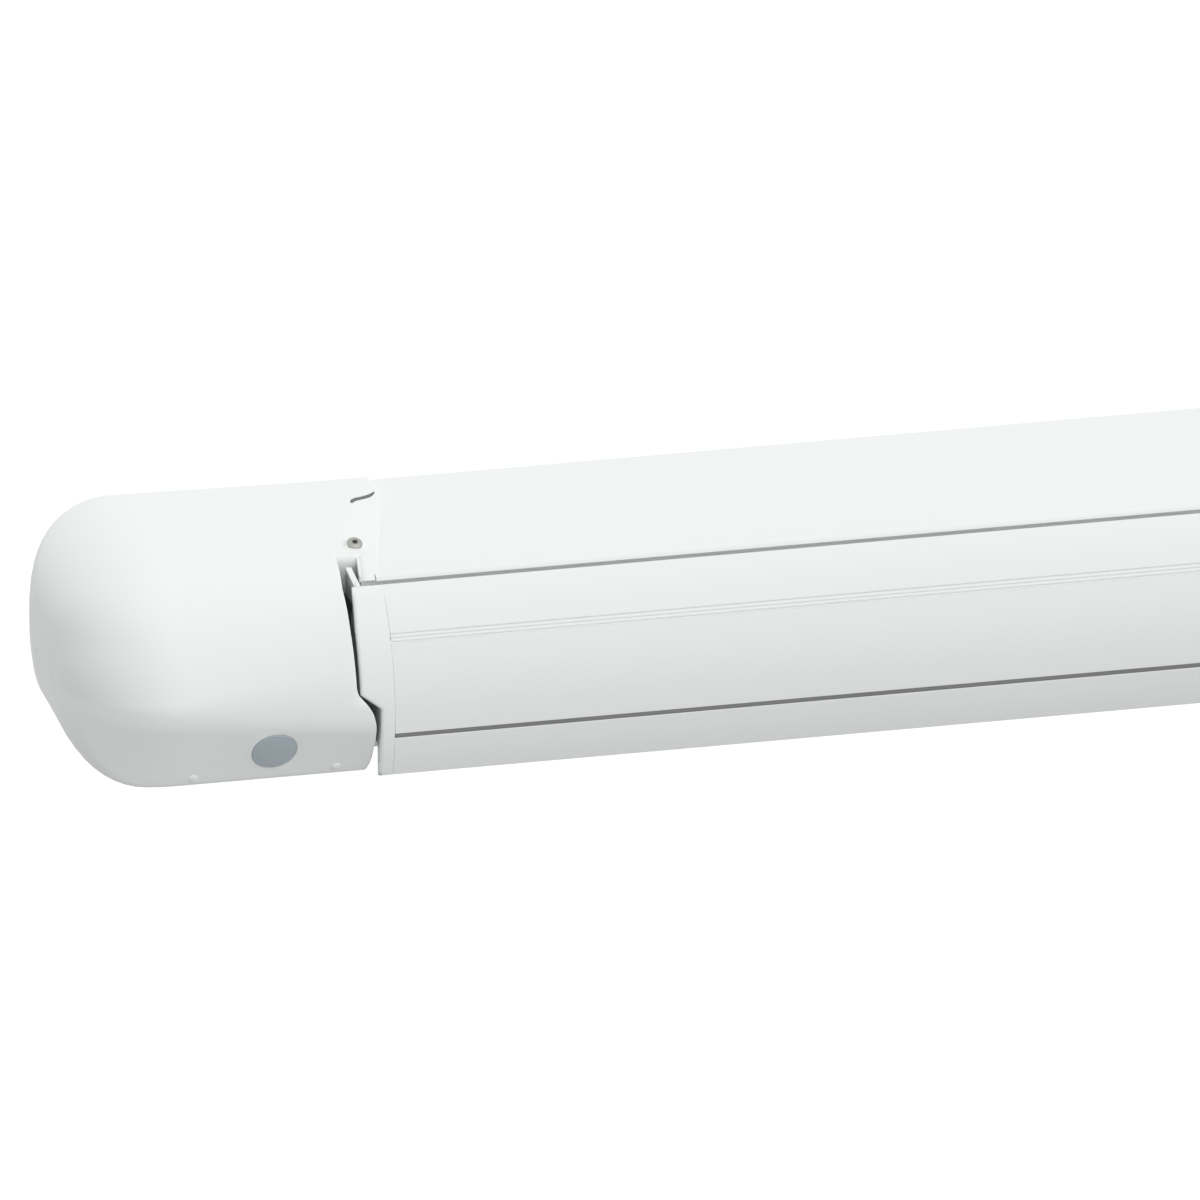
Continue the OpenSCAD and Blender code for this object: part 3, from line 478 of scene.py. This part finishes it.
for name in ("left_bar_cap", "right_bar_cap"):
    bm = merged_copy(name, stand_upright)
    for width, segments, wanted in ((2.4, 5, True), (0.5, 2, False)):
        rounded(bm, [e for e in sharp_edges(bm, 40, 1.6) if outer_edge(e) == wanted], width, segments)
    dressed(bm, name)

# %% [markdown]
# ## The end cap's outline
# The cap is a moulded shell. Across the awning its outline has seven corners, each with its own radius.
# The front ones shift from the seam outwards: beside the lead bar the front is one soft bow, and further
# out a crease forms in it. Towards the outer end all sides turn in along quarter ellipses. Boxes with
# subdivision would be quicker to make, but would not follow the solid, so rings of this outline are
# extruded one after another.

# %% Corners of the outline
CAP = 200
TURNS_AT = 133
LIFTS_LATER = 22
TOP = 128.8
CROWN = 2.8
FOOT = 188
TOP_DROP = 44
LOW_RISE = 60
BACK_IN = 64
FRONT_IN = (60, 71, 92, 88)
FOOT_IN = 50
FOOT_RISE = 37
NEAR_SEAM = [(172.7, 124), (195.8, 94.5), (208.9, 60.5), (207.5, 33.4)]
NEAR_END = [(164.1, 126.6), (200.9, 79.8), (209.1, 58.5), (208.4, 47.4)]
SEAM_RADII = [49, 97, 103, 27]
END_RADII = [86, 124, 22, 36]


def turned(x, start):
    share = max(0, (x - start) / (CAP - start))
    return 1 - math.sqrt(max(0, 1 - share * share))


def cap_corners(x):
    share = min(1, max(0, x) / TURNS_AT)
    going = turned(x, TURNS_AT)
    lifting = turned(x, TURNS_AT + LIFTS_LATER)
    drop = TOP_DROP * going
    low = LOW_RISE * lifting
    bow = [Vector(a).lerp(Vector(b), share) for a, b in zip(NEAR_SEAM, NEAR_END)]
    corners = [Vector((BACK_IN * going, low)), Vector((BACK_IN * going, TOP + CROWN * share - drop))]
    for c, depth in zip(bow, FRONT_IN):
        up = (c.y - bow[3].y) / (bow[0].y - bow[3].y)
        corners.append(Vector((c.x - depth * going, c.y - drop * up)))
    corners.append(Vector((FOOT - FOOT_IN * going, FOOT_RISE * lifting)))
    radii = [a + (b - a) * share for a, b in zip(SEAM_RADII, END_RADII)]
    return corners, [4 + 0.7 * low, 2 + 0.6 * drop] + radii + [5 + 0.6 * low]


print("corners beside the seam:", [[round(v) for v in c] for c in cap_corners(0)[0]])

# %% Rounded outline
STEPS = [8, 6, 16, 8, 14, 12, 6]
SIDES = [[0.25, 0.5, 0.75, 0.985], None, [0.5], [0.5], [0.5], [k / 9 for k in range(1, 9)],
         [k / 8 for k in range(1, 8)]]
TOP_START = 2
TOP_RUN = 147.7
EVEN_FROM = 24
EVEN_RUN = 46
TOP_COLUMNS = [6, 14, 22, 33, 45, 60, 80, 100, 112, 120, 126.9, 127.1, 133, 139]


def eased(share):
    share = min(1, max(0, share))
    return share * share * (3 - 2 * share)


def corner_arc(a, b, c, run, steps):
    p = (a - b).normalized()
    q = (c - b).normalized()
    angle = p.angle(q)
    radius = run * math.tan(angle / 2)
    middle = b + (p + q).normalized() * radius / math.sin(angle / 2)
    first = b + p * run - middle
    last = b + q * run - middle
    sweep = math.atan2(first.x * last.y - first.y * last.x, first.dot(last))
    return [middle + Vector((first.x * math.cos(t) - first.y * math.sin(t),
                             first.x * math.sin(t) + first.y * math.cos(t)))
            for t in [sweep * i / steps for i in range(steps + 1)]]


def cap_outline(x):
    corners, radii = cap_corners(x)
    count = len(corners)
    runs = []
    for i in range(count):
        angle = (corners[i - 1] - corners[i]).angle(corners[(i + 1) % count] - corners[i])
        runs.append(radii[i] / math.tan(angle / 2))
    room = []
    for i in range(count):
        side = (corners[(i + 1) % count] - corners[i]).length
        room.append(min(1, 0.98 * side / (runs[i] + runs[(i + 1) % count])))
    arcs = []
    for i in range(count):
        run = runs[i] * min(room[i], room[i - 1])
        arcs.append(corner_arc(corners[i - 1], corners[i], corners[(i + 1) % count], run, STEPS[i]))
    spreading = eased((x - EVEN_FROM) / EVEN_RUN)
    outline = []
    for i in range(count):
        outline += arcs[i]
        start = arcs[i][-1]
        end = arcs[(i + 1) % count][0]
        shares = SIDES[i]
        if shares is None:
            fixed = [(f - start.x) / (end.x - start.x) for f in TOP_COLUMNS]
            spread = [(f - TOP_START) / TOP_RUN for f in TOP_COLUMNS]
            shares = [a + (b - a) * spreading for a, b in zip(fixed, spread)]
        outline += [start.lerp(end, share) for share in shares]
    return outline


print("points on the cap's outline:", len(cap_outline(0)))

# %% [markdown]
# ## The cap's inner edge
# On top, the cap goes on over the case as a flange with a slanted edge. In front of it a notch is cut
# out, down the front the edge runs beside the lead bar's cap, and at the crease it swings in an S to a
# lip below. Each point of the outline gets its own starting distance from a short table, so the edge
# needs no cutting.

# %% Inner edge
FLANGE_EDGE = [(0, 36), (22, 37.3), (45, 33), (171, 1)]
NOTCH_LEFT = [(127, 16.3), (131, 17), (150, 19.5), (172, 22.4)]
NOTCH_RIGHT = [(127, -2.6), (171, -11)]
EDGE_IN_FRONT = [(0, 12), (2.6, 11), (5, 10), (11, 8.9), (25, 8.6), (37, 9.2), (43, 10.4), (47, 12.2),
                 (50.5, 14.4), (53, 16.4), (55.5, 18.7), (58, 20.6), (62, 21.5), (80, 21.9), (97, 22.4)]
FLANGE_FROM = 112
NOTCH = 127
THINNER = 2
THINNED_OVER = 30
THIN_FROM = 20
THIN_TO = 163


def read_table(table, at):
    if at <= table[0][0]:
        return table[0][1]
    for (a, va), (b, vb) in zip(table, table[1:]):
        if at <= b:
            return va + (vb - va) * (at - a) / (b - a)
    return table[-1][1]


def cap_edge(point):
    if point.x < 0.5 and point.y < 126 or point.x < 150 and point.y < 60:
        return 9
    if point.y > FLANGE_FROM and point.x < NOTCH:
        return -read_table(FLANGE_EDGE, point.x)
    if point.y > FLANGE_FROM:
        return read_table(NOTCH_LEFT, point.x)
    return read_table(EDGE_IN_FRONT, point.y)


def thinned(along, front):
    """How much thinner the flange is near its slanted edge, where it runs out on the case."""
    inside = read_table(FLANGE_EDGE, front) - along
    share = min(1, max(0, (front - THIN_FROM) / 40)) * min(1, max(0, (THIN_TO - front) / 20))
    return THINNER * share * max(0, 1 - inside / THINNED_OVER)


def flange_top(along, front):
    """The straight line between the two upper corners beside the seam, less the thinning."""
    far, low = NEAR_SEAM[0]
    return TOP + (low - TOP) * front / far - thinned(along, front)


print("edge on the flange and at the crease:", cap_edge(Vector((60, 127))), cap_edge(Vector((208, 48))))

# %% [markdown]
# ## Rings and chains
# Most of the new pieces are rows of points, each extruded from the row before. The edge extrude makes the
# new row with its faces, and then the new points are moved to their places.

# %% Extrude a row


def neighbours(row, closed=True):
    return zip(row, row[1:] + row[:1] if closed else row[1:])


def row_of(bm, points, closed=True):
    row = [bm.verts.new(p) for p in points]
    for pair in neighbours(row, closed):
        bm.edges.new(pair)
    return row


def edges_of(bm, row, closed=True):
    return [bm.edges.get(pair) for pair in neighbours(row, closed)]


def extruded(bm, row, points, closed=True):
    sides = edges_of(bm, row, closed)
    made = bmesh.ops.extrude_edge_only(bm, edges=sides)["geom"]
    fresh = {v for v in made if isinstance(v, bmesh.types.BMVert)}
    follow = []
    for v, p in zip(row, points):
        twin = next(e.other_vert(v) for e in v.link_edges if e.other_vert(v) in fresh)
        twin.co = p
        follow.append(twin)
    return follow


def drawn_out(bm, lines):
    """Extrude a closed line of points from place to place, and give the two faces that close its ends."""
    row = None
    first = None
    for points in lines:
        row = extruded(bm, row, points) if row else row_of(bm, points)
        first = first or row
    return [bmesh.ops.contextual_create(bm, geom=end)["faces"][0] for end in (first, row)]


# %% [markdown]
# ## The cap's shell
# The first rings make the rounded lip of the inner edge, the next ones even out the distances, and the
# rest go on to the domed outer end. Above the S the lip is hollowed a little, so the points near there go
# back.

# %% Shell
DOME = 1.6
HOLLOW = 2
LEVELLED_AT = 45
LIP = [(14, 2.75), (3, 2.75), (0.5, 2.6), (0.05, 2.2), (0, 0.9), (0.25, 0.25), (0.9, 0), (1.7, 0)]


def cap_point(i, x, inwards=0):
    outline = cap_outline(x)
    p = outline[i]
    if inwards:
        along = (outline[(i + 1) % len(outline)] - outline[i - 1]).normalized()
        p = p + Vector((along.y, -along.x)) * inwards
    lower = thinned(-x, p.x) if p.y > FLANGE_FROM and p.x < NOTCH else 0
    return place(-x, p.x, p.y - lower)


def hollow_out(co):
    """Push a point of the front back. This fades outwards, at the S and towards the top."""
    along = co.x / MM + SEAM
    height = co.z / MM - UNDERSIDE
    near = eased((26 + along) / 9) * eased((height - 50.5) / 5) * eased((95 - height) / 30)
    if -co.y / MM > 185:
        co.y += HOLLOW * MM * near


def cap_shell():
    bm = bmesh.new()
    starts = [cap_edge(p) for p in cap_outline(15)]
    count = len(starts)
    row = None
    for ahead, inwards in LIP:
        points = [cap_point(i, starts[i] + ahead, inwards) for i in range(count)]
        row = extruded(bm, row, points) if row else row_of(bm, points)
    lip_end = LIP[-1][0]
    for share in (0.12, 0.3, 0.55, 0.8, 1):
        spots = [start + lip_end + (LEVELLED_AT - lip_end - start) * share for start in starts]
        row = extruded(bm, row, [cap_point(i, spots[i]) for i in range(count)])
    across = [52, 58, 66, 74, 82, 90, 97, 110, 122, TURNS_AT]
    across += [TURNS_AT + (CAP - TURNS_AT) * math.sin(math.radians(a))
               for a in (6, 12, 18, 24, 30, 36, 42, 48, 54, 60, 66, 72, 77, 81, 85, 88.5)]
    for x in across:
        back_off = DOME * turned(x, TURNS_AT) ** 2
        row = extruded(bm, row, [place(back_off - x, p.x, p.y) for p in cap_outline(x)])
    last = cap_outline(across[-1])
    centre = sum(last, Vector((0, 0))) / count
    for share in (0.85, 0.65, 0.4, 0.18):
        points = [centre.lerp(p, share) for p in last]
        row = extruded(bm, row, [place(DOME * share * share - CAP, p.x, p.y) for p in points])
    bmesh.ops.contextual_create(bm, geom=row)
    for v in bm.verts:
        hollow_out(v.co)
    bmesh.ops.recalc_face_normals(bm, faces=bm.faces)
    return bm


shell = cap_shell()
print("cap shell:", len(shell.verts), "points")

# %% [markdown]
# ## The opening for the hand crank
# On the left cap a round plug closes an opening in the lower facet. A patch of faces is taken out there,
# a circle is drawn in the plane of the facet, and the two borders are bridged. Then the circle goes
# inwards as the seat of the plug and a bore.

# %% Opening in the facet
PLUG_LEAN = math.atan(20.001 / 41.19)
PLUG_AXIS = Vector((0, -math.cos(PLUG_LEAN), -math.sin(PLUG_LEAN)))
PLUG_UP = Vector((0, -math.sin(PLUG_LEAN), math.cos(PLUG_LEAN)))
PLUG_HEIGHT = 23
PLUG_AT = place(-74, FOOT + PLUG_HEIGHT * math.tan(PLUG_LEAN), PLUG_HEIGHT)
SEAT_R = 14.85
BORE_R = 12.06


def circle_at(centre, radius, count):
    angles = [2 * math.pi * k / count for k in range(count)]
    return [centre + Vector((math.cos(a) * radius, 0, 0)) + PLUG_UP * math.sin(a) * radius for a in angles]


def open_facet(bm):
    low = place(-90.5, 0, 7.5)
    high = place(-57.5, 0, 38.5)
    patch = []
    for face in bm.faces:
        c = face.calc_center_median()
        inside = low.x < c.x < high.x and low.z < c.z < high.z
        if inside and c.y < -0.185 and face.normal.dot(PLUG_AXIS) > 0.8:
            patch.append(face)
    bmesh.ops.delete(bm, geom=patch, context="FACES")
    border = [e for e in bm.edges if e.is_boundary and (e.verts[0].co - PLUG_AT).length < 0.035]
    row = row_of(bm, circle_at(PLUG_AT, SEAT_R * MM, 64))
    bmesh.ops.bridge_loops(bm, edges=border + edges_of(bm, row))
    for radius, depth in ((SEAT_R, 0.8), (BORE_R, 0.8), (BORE_R, 30)):
        row = extruded(bm, row, circle_at(PLUG_AT - PLUG_AXIS * depth * MM, radius * MM, 64))
    bmesh.ops.contextual_create(bm, geom=row)
    bmesh.ops.recalc_face_normals(bm, faces=bm.faces)
    return len(patch)


print("faces taken out:", open_facet(shell))

# %% [markdown]
# ## Slit in the flange
# Near its back corner the flange has a short S-shaped slit down to the case. A patch of faces is taken
# out, the closed line of the slit is drawn in it, and the surface between the two is filled again. Then
# the line goes down as walls.

# %% Slit
SLIT = [(15.6, 42.8, 0.6), (16.4, 40.4, 1.3), (17.8, 38.3, 2), (20.9, 36.4, 2.4), (24.5, 35.2, 2.3),
        (28.2, 33.6, 2.2), (31.2, 31.2, 1.6), (33, 29, 1), (34.2, 27.1, 0.5)]


def slit_sides(wider=0):
    """The two sides of the slit, seen from above."""
    sides = [[], []]
    for k, (along, front, half) in enumerate(SLIT):
        a = Vector(SLIT[max(0, k - 1)][:2])
        b = Vector(SLIT[min(len(SLIT) - 1, k + 1)][:2])
        across = (b - a).normalized()
        across = Vector((across.y, -across.x)) * (half + wider)
        sides[0].append(Vector((along, front)) + across)
        sides[1].append(Vector((along, front)) - across)
    return sides


def on_flange(spot, below=0):
    return place(spot.x, spot.y, flange_top(spot.x, spot.y) - below)


def cut_slit(bm):
    low = place(9.5, 45, 120)
    high = place(35.3, 22, 140)
    patch = []
    for face in bm.faces:
        c = face.calc_center_median()
        if low.x < c.x < high.x and low.y < c.y < high.y and c.z > low.z and face.normal.z > 0.8:
            patch.append(face)
    rim = [e for e in bm.edges if sum(face in patch for face in e.link_faces) == 1]
    bmesh.ops.delete(bm, geom=patch, context="FACES")
    sides = slit_sides()
    loop = [on_flange(spot) for spot in sides[0] + sides[1][::-1]]
    row = row_of(bm, loop)
    bmesh.ops.triangle_fill(bm, edges=rim + edges_of(bm, row), use_beauty=True, normal=(0, 0, 1))
    row = extruded(bm, row, [p - Vector((0, 0, 2.7)) * MM for p in loop])
    bmesh.ops.contextual_create(bm, geom=row)
    bmesh.ops.recalc_face_normals(bm, faces=bm.faces)
    return len(patch)


print("faces round the slit:", cut_slit(shell))

# %% Painted shade strip in the slit
SHADE_STRIP_TOP = 0.25
SHADE_STRIP_FOOT = 1.6


def slit_shade_strip(mirrored):
    """A black strip just below the surface, as painted shade that darkens the slit."""
    bm = bmesh.new()
    lines = []
    for one, other in zip(*slit_sides(0.05)):
        corners = ((other, SHADE_STRIP_TOP), (one, SHADE_STRIP_TOP), (one, SHADE_STRIP_FOOT), (other, SHADE_STRIP_FOOT))
        lines.append([on_flange(spot, below) for spot, below in corners])
    drawn_out(bm, lines)
    if mirrored:
        bmesh.ops.scale(bm, vec=(-1, 1, 1), verts=bm.verts)
    bmesh.ops.recalc_face_normals(bm, faces=bm.faces)
    return bm


# The black strip stands in for the shade inside the slit: it is painted shade, not a part of the cap.
for end in ("left", "right"):
    piece(slit_shade_strip(end == "right"), end + "_flange_slit_shade", "case", "black_plastic")

# %% [markdown]
# ## Tongue and notch
# Beside the notch a tongue of the flange runs down to the nose and bends over it. Its side to the notch
# is a soft shoulder. It is a closed outline that is extruded row by row towards the front. The back of
# the notch is a ramp.

# %% Tongue and ramp
TONGUE_TOP = [(124.5, 124.8), (126.9, 125.24), (127.1, 125.27), (140, 124.7), (152, 124.1), (165.4, 123.5)]
BEND = 5
BEND_AT = 165
SHOULDER = 4.5


def tongue_row(front, lean=0.0):
    """Points round the tongue: the distance along, and how far below its top."""
    edge = -0.4 if lean else read_table(FLANGE_EDGE, front)
    side = read_table(NOTCH_RIGHT, front)
    middle = (edge + side + SHOULDER) / 2
    around = [(edge, -2.6), (edge, -0.5), (edge - 0.15, -0.12), (edge - 0.5, 0), (edge - 2, 0), (middle, 0)]
    for degrees in (0, 15, 30, 45, 60, 75, 90):
        a = math.radians(degrees)
        around.append((side + SHOULDER - SHOULDER * math.sin(a), SHOULDER * math.cos(a) - SHOULDER))
    around += [(side, -5.5), (side + 1.5, -5.5), (side + 3, -3.2), (middle, -2.8)]
    rise = read_table(TONGUE_TOP, front)
    points = []
    for along, below in around:
        if lean:
            reach = BEND + below
            ahead = BEND_AT + reach * math.sin(lean)
            points.append(place(along, ahead, rise - BEND + reach * math.cos(lean)))
        else:
            points.append(place(along, front, rise + below - thinned(along, front)))
    return points


def add_tongue(bm):
    lines = [tongue_row(front) for front in (124.5, 126.9, 127.1, 133, 140, 147, 153, 158, 162)]
    lines += [tongue_row(166, math.radians(degrees)) for degrees in (0.1, 9, 18, 27, 36, 45, 53, 60)]
    start = drawn_out(bm, lines)[0]
    island = {start}
    rim = [start]
    while rim:
        face = rim.pop()
        for e in face.edges:
            for other in e.link_faces:
                if other not in island:
                    island.add(other)
                    rim.append(other)
    bmesh.ops.recalc_face_normals(bm, faces=[face for face in bm.faces if face in island])


def add_ramp(bm):
    before = set(bm.faces)
    row = None
    for front, below in ((125, -0.02), (127.1, 0), (128.2, -0.2), (129.2, -0.7), (130.4, -1.9), (131.4, -3.4),
                         (132.4, -5.6), (133.2, -8.6), (133.8, -14), (134, -24)):
        left = -read_table(NOTCH_LEFT, front) - 1.5
        right = read_table(NOTCH_RIGHT, front) + 4
        spots = [left + (right - left) * k / 4 for k in range(5)]
        points = [place(along, front, flange_top(along, front) + below) for along in spots]
        row = extruded(bm, row, points, closed=False) if row else row_of(bm, points, closed=False)
    bm.normal_update()
    ramp = [face for face in bm.faces if face not in before]
    bmesh.ops.reverse_faces(bm, faces=[face for face in ramp if face.normal.z - face.normal.y < 0])


add_tongue(shell)
add_ramp(shell)
print("cap with tongue and ramp:", len(shell.faces), "faces")

# %% Left and right cap
piece(shell, "left_end_cap_shell", "case", "cap_plastic", ("left_end_cap",))
shell = cap_shell()
cut_slit(shell)
add_tongue(shell)
add_ramp(shell)
bmesh.ops.scale(shell, vec=(-1, 1, 1), verts=shell.verts)
bmesh.ops.reverse_faces(shell, faces=shell.faces)
piece(shell, "right_end_cap_shell", "case", "cap_plastic", ("right_end_cap",))

# %% [markdown]
# ## Turned pieces
# Screw heads, studs and the round plug are turned: a short profile of radius and height is spun once
# round its axis, and the points on the axis are merged.

# %% Spin a profile


def lathe(bm, profile, centre, axis, side, steps=48):
    spots = [bm.verts.new(centre + side * radius * MM + axis * height * MM) for radius, height in profile]
    lines = [bm.edges.new(pair) for pair in zip(spots, spots[1:])]
    bmesh.ops.spin(bm, geom=spots + lines, cent=centre, axis=axis, angle=2 * math.pi, steps=steps,
                   use_merge=True)
    bmesh.ops.remove_doubles(bm, verts=bm.verts, dist=0.000002)
    bmesh.ops.recalc_face_normals(bm, faces=bm.faces)


# %% Cap screws
SCREW_HEAD = [(2.2, 1.62), (2.6, 1.6), (3.3, 1.45), (4, 1.18), (4.55, 0.8), (4.9, 0.4), (5, 0.1), (5, -0.6)]
SCREW_SEAT = [(4, -0.3), (5.5, -0.35), (6.1, -0.7), (6.8, -2), (7.4, -6)]
SOCKET_R = 1.95
LEAN = math.radians(28)
AXIS = Vector((0, -math.sin(LEAN), math.cos(LEAN)))
ACROSS = Vector((0, math.cos(LEAN), math.sin(LEAN)))
ALONG = Vector((1, 0, 0))
heads = bmesh.new()
seats = bmesh.new()
socket_shade = bmesh.new()
for mirrored in (1, -1):
    spot = place(-0.4, 115.2, 127.6) - AXIS * 1.2 * MM
    spot.x *= mirrored
    lathe(seats, SCREW_SEAT, spot, AXIS, ALONG)
    lathe(heads, SCREW_HEAD, spot, AXIS, ALONG)
    inner = []
    for e in heads.edges:
        start = e.verts[0].co
        if e.is_boundary and (start - spot).dot(AXIS) > MM and start.x * spot.x > 0:
            inner.append(e)
    corners = [ALONG * math.cos(a) * SOCKET_R * MM + ACROSS * math.sin(a) * SOCKET_R * MM
               for a in [math.pi * k / 3 for k in range(6)]]
    socket = row_of(heads, [spot + c + AXIS * 1.6 * MM for c in corners])
    bmesh.ops.bridge_loops(heads, edges=inner + edges_of(heads, socket))
    bottom = extruded(heads, socket, [v.co - AXIS * 1.9 * MM for v in socket])
    bmesh.ops.contextual_create(heads, geom=bottom)
    # A dark prism inside each hex socket is painted shade: it darkens the socket, whose inside is steel.
    tops = [spot + c * 0.99 + AXIS * 1.2 * MM for c in corners]
    drawn_out(socket_shade, [tops, [top - AXIS * 1.4 * MM for top in tops]])
bmesh.ops.recalc_face_normals(heads, faces=heads.faces)
bmesh.ops.recalc_face_normals(socket_shade, faces=socket_shade.faces)
piece(heads, "cap_screw_heads", "case", "steel", ("cap_screws",), look="dull_steel")
piece(seats, "cap_screw_seats", "case", "cap_plastic")
# The dark rubber finish on the socket prisms paints the shade in the sockets.
piece(socket_shade, "cap_screw_socket_shade", "case", "steel", look="dark_rubber")

# %% Cap studs
STUD = [(0, 1.2), (1, 1.13), (1.9, 0.94), (2.6, 0.66), (3.1, 0.26), (3.3, -0.3), (3.3, -1)]
STUDS_AT = (32, 125)
STUD_HEIGHT = 6
END_STUD = [(0, 0.8), (1.2, 0.72), (2.1, 0.5), (2.8, 0.1), (3, -0.4)]
bm = bmesh.new()
for mirrored in (1, -1):
    for x in STUDS_AT:
        crease = cap_corners(x)[0][5]
        lean = math.atan((crease.x - FOOT) / crease.y)
        spot = place(-x, FOOT + STUD_HEIGHT * math.tan(lean), STUD_HEIGHT)
        spot.x *= mirrored
        lathe(bm, STUD, spot, Vector((0, -math.cos(lean), -math.sin(lean))), ALONG, 32)
    spot = place(-199.1, 77, 61.2)
    spot.x *= mirrored
    lathe(bm, END_STUD, spot, Vector((-mirrored, 0, 0)), Vector((0, 1, 0)), 32)
piece(bm, "cap_stud_domes", "case", "cap_plastic", ("cap_studs",))

# %% Round plug
PLUG = [(0, 1.7), (4, 1.63), (7.5, 1.42), (10.5, 1.12), (12.3, 0.9), (12.6, 0.76), (12.9, 0.74),
        (13.15, 0.84), (13.9, 0.72), (14.3, 0.5), (14.5, 0.15), (14.5, -0.7), (12, -0.7), (12, -7.6),
        (11.6, -8.6), (10.5, -9), (0, -9)]
bm = bmesh.new()
lathe(bm, PLUG, PLUG_AT, PLUG_AXIS, ALONG, 64)
piece(bm, "round_plug", "override_plug", "plug_plastic", ("override_plug",), sharp=50)

# %% [markdown]
# ## The nose
# The front edge of the top cover is a soft round nose. The solid shows only its core, a bead under a flat
# sheet, so the rounding is one strip over it: a closed line of places, drawn out from one end cap to the
# other. It ends a little above the lip of the lead bar, and the dark line between the two is left open.

# %% Nose strip
NOSE_R = 5
NOSE_AT = (165.3, 118.5)
NOSE_MIDDLE = Vector((165, 121))
NOSE_LINE = [(138, 122.73), (146, 122.75), (153, 123), (159, 123.35), (163, 123.55)]
for degrees in (0, 8, 17, 26, 35, 44, 52, 60, 67):
    a = math.radians(degrees)
    NOSE_LINE.append((NOSE_AT[0] + NOSE_R * math.sin(a), NOSE_AT[1] + NOSE_R * math.cos(a)))
NOSE_LINE += [(169.6, 120), (168.6, 119.7), (165.5, 119.6), (160, 121), (150, 122.2), (140, 122.5)]
bm = bmesh.new()
lines = []
for along, size in ((0.2, 0.97), (0.7, 1), (2 * SEAM - 0.7, 1), (2 * SEAM - 0.2, 0.97)):
    line = [NOSE_MIDDLE.lerp(Vector(spot), size) for spot in NOSE_LINE]
    lines.append([place(along, spot.x, spot.y) for spot in line])
drawn_out(bm, lines)
bmesh.ops.recalc_face_normals(bm, faces=bm.faces)
piece(bm, "nose_strip", "case", "cap_plastic")

# %% [markdown]
# ## Cloth
# The cloth is one sheet: it is wound on the roller, leaves the roll at the top and ends in a hem in the
# lead bar. Only the strip between the roll and the lead bar is free when the awning is shut. It has many
# rows, because the same strip is drawn out to the full cloth when the lead bar goes out. The weave
# follows a map in metres of cloth.

# %% Draw out a cloth
CLOTH_HALF = 1.330
LAYER = 0.0006
TUBE_R = 0.0302
HEM_R = 0.003
low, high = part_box("cloth_roll")
ROLL = Vector((0, (low[1] + high[1]) / 2, (low[2] + high[2]) / 2))
ROLL_R = (high[2] - low[2]) / 2
low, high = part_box("hem_rod")
hem_at = (Vector(low) + Vector(high)) / 2


def cloth_along(bm, spots):
    """Extrude the width of the cloth along a line of places, with its map, and give its length."""
    weave = bm.loops.layers.uv.new("cloth")
    length = 0
    lengths = {}
    row = None
    for k, spot in enumerate(spots):
        ends = [Vector((-CLOTH_HALF, spot.y, spot.z)), Vector((CLOTH_HALF, spot.y, spot.z))]
        row = extruded(bm, row, ends, closed=False) if row else row_of(bm, ends, closed=False)
        if k:
            length += (spot - spots[k - 1]).length
        for v in row:
            lengths[v] = length
    for face in bm.faces:
        for loop in face.loops:
            loop[weave].uv = (loop.vert.co.x, lengths[loop.vert])
    return length


# %% Canopy
top_of_roll = Vector((0, ROLL.y, ROLL.z + ROLL_R + 0.0008))
hem_top = Vector((0, hem_at.y + HEM_R + 0.0003, hem_at.z))
ROWS = 48
spots = []
for k in range(ROWS + 1):
    # The inverse of the blend's easing, so the rows lie evenly when the cloth is drawn out
    share = 0.5 - math.sin(math.asin(1 - 2 * k / ROWS) / 3)
    spots.append(top_of_roll.lerp(hem_top, share))
bm = bmesh.new()
free_length = cloth_along(bm, spots)
bm.normal_update()
bmesh.ops.reverse_faces(bm, faces=[face for face in bm.faces if face.normal.z < 0])
canopy = piece(bm, "canopy_sheet", None, "awning_cloth", ("canopy",))

# %% Cloth on the roller
STOPS = 460
turns = (ROLL_R - TUBE_R) / LAYER
spots = []
for k in range(STOPS + 1):
    angle = 2 * math.pi * turns * k / STOPS
    radius = ROLL_R - LAYER * angle / (2 * math.pi)
    spots.append(ROLL + Vector((0, math.sin(angle), math.cos(angle))) * radius)
bm = bmesh.new()
wound_length = cloth_along(bm, spots)
bm.normal_update()
inner = []
for face in bm.faces:
    outwards = face.calc_center_median() - ROLL
    if face.normal.dot(Vector((0, outwards.y, outwards.z))) < 0:
        inner.append(face)
bmesh.ops.reverse_faces(bm, faces=inner)
wound = piece(bm, "wound_cloth", "roller", "awning_cloth", ("cloth_roll",))
print("turns:", round(turns, 1), "wound:", round(wound_length, 3), "m")

# %% Hem
bm = bmesh.new()
weave = bm.loops.layers.uv.new("cloth")
angles = [2 * math.pi * k / 24 for k in range(24)]
ROUND_END = ((0, 0.0025), (0.0004, 0.0029), (0.0012, HEM_R))
rings = [(low[0] + run, radius) for run, radius in ROUND_END]
rings += [(high[0] - run, radius) for run, radius in ROUND_END[::-1]]
lines = []
for x, radius in rings:
    lines.append([Vector((x, hem_at.y + math.cos(a) * radius, hem_at.z + math.sin(a) * radius))
                  for a in angles])
drawn_out(bm, lines)
bmesh.ops.recalc_face_normals(bm, faces=bm.faces)
for face in bm.faces:
    for loop in face.loops:
        turn_of = math.atan2(loop.vert.co.z - hem_at.z, loop.vert.co.y - hem_at.y)
        loop[weave].uv = (loop.vert.co.x, abs(turn_of) * HEM_R)
piece(bm, "cloth_hem", "hem", "awning_cloth", ("hem_rod",))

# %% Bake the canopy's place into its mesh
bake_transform(canopy)
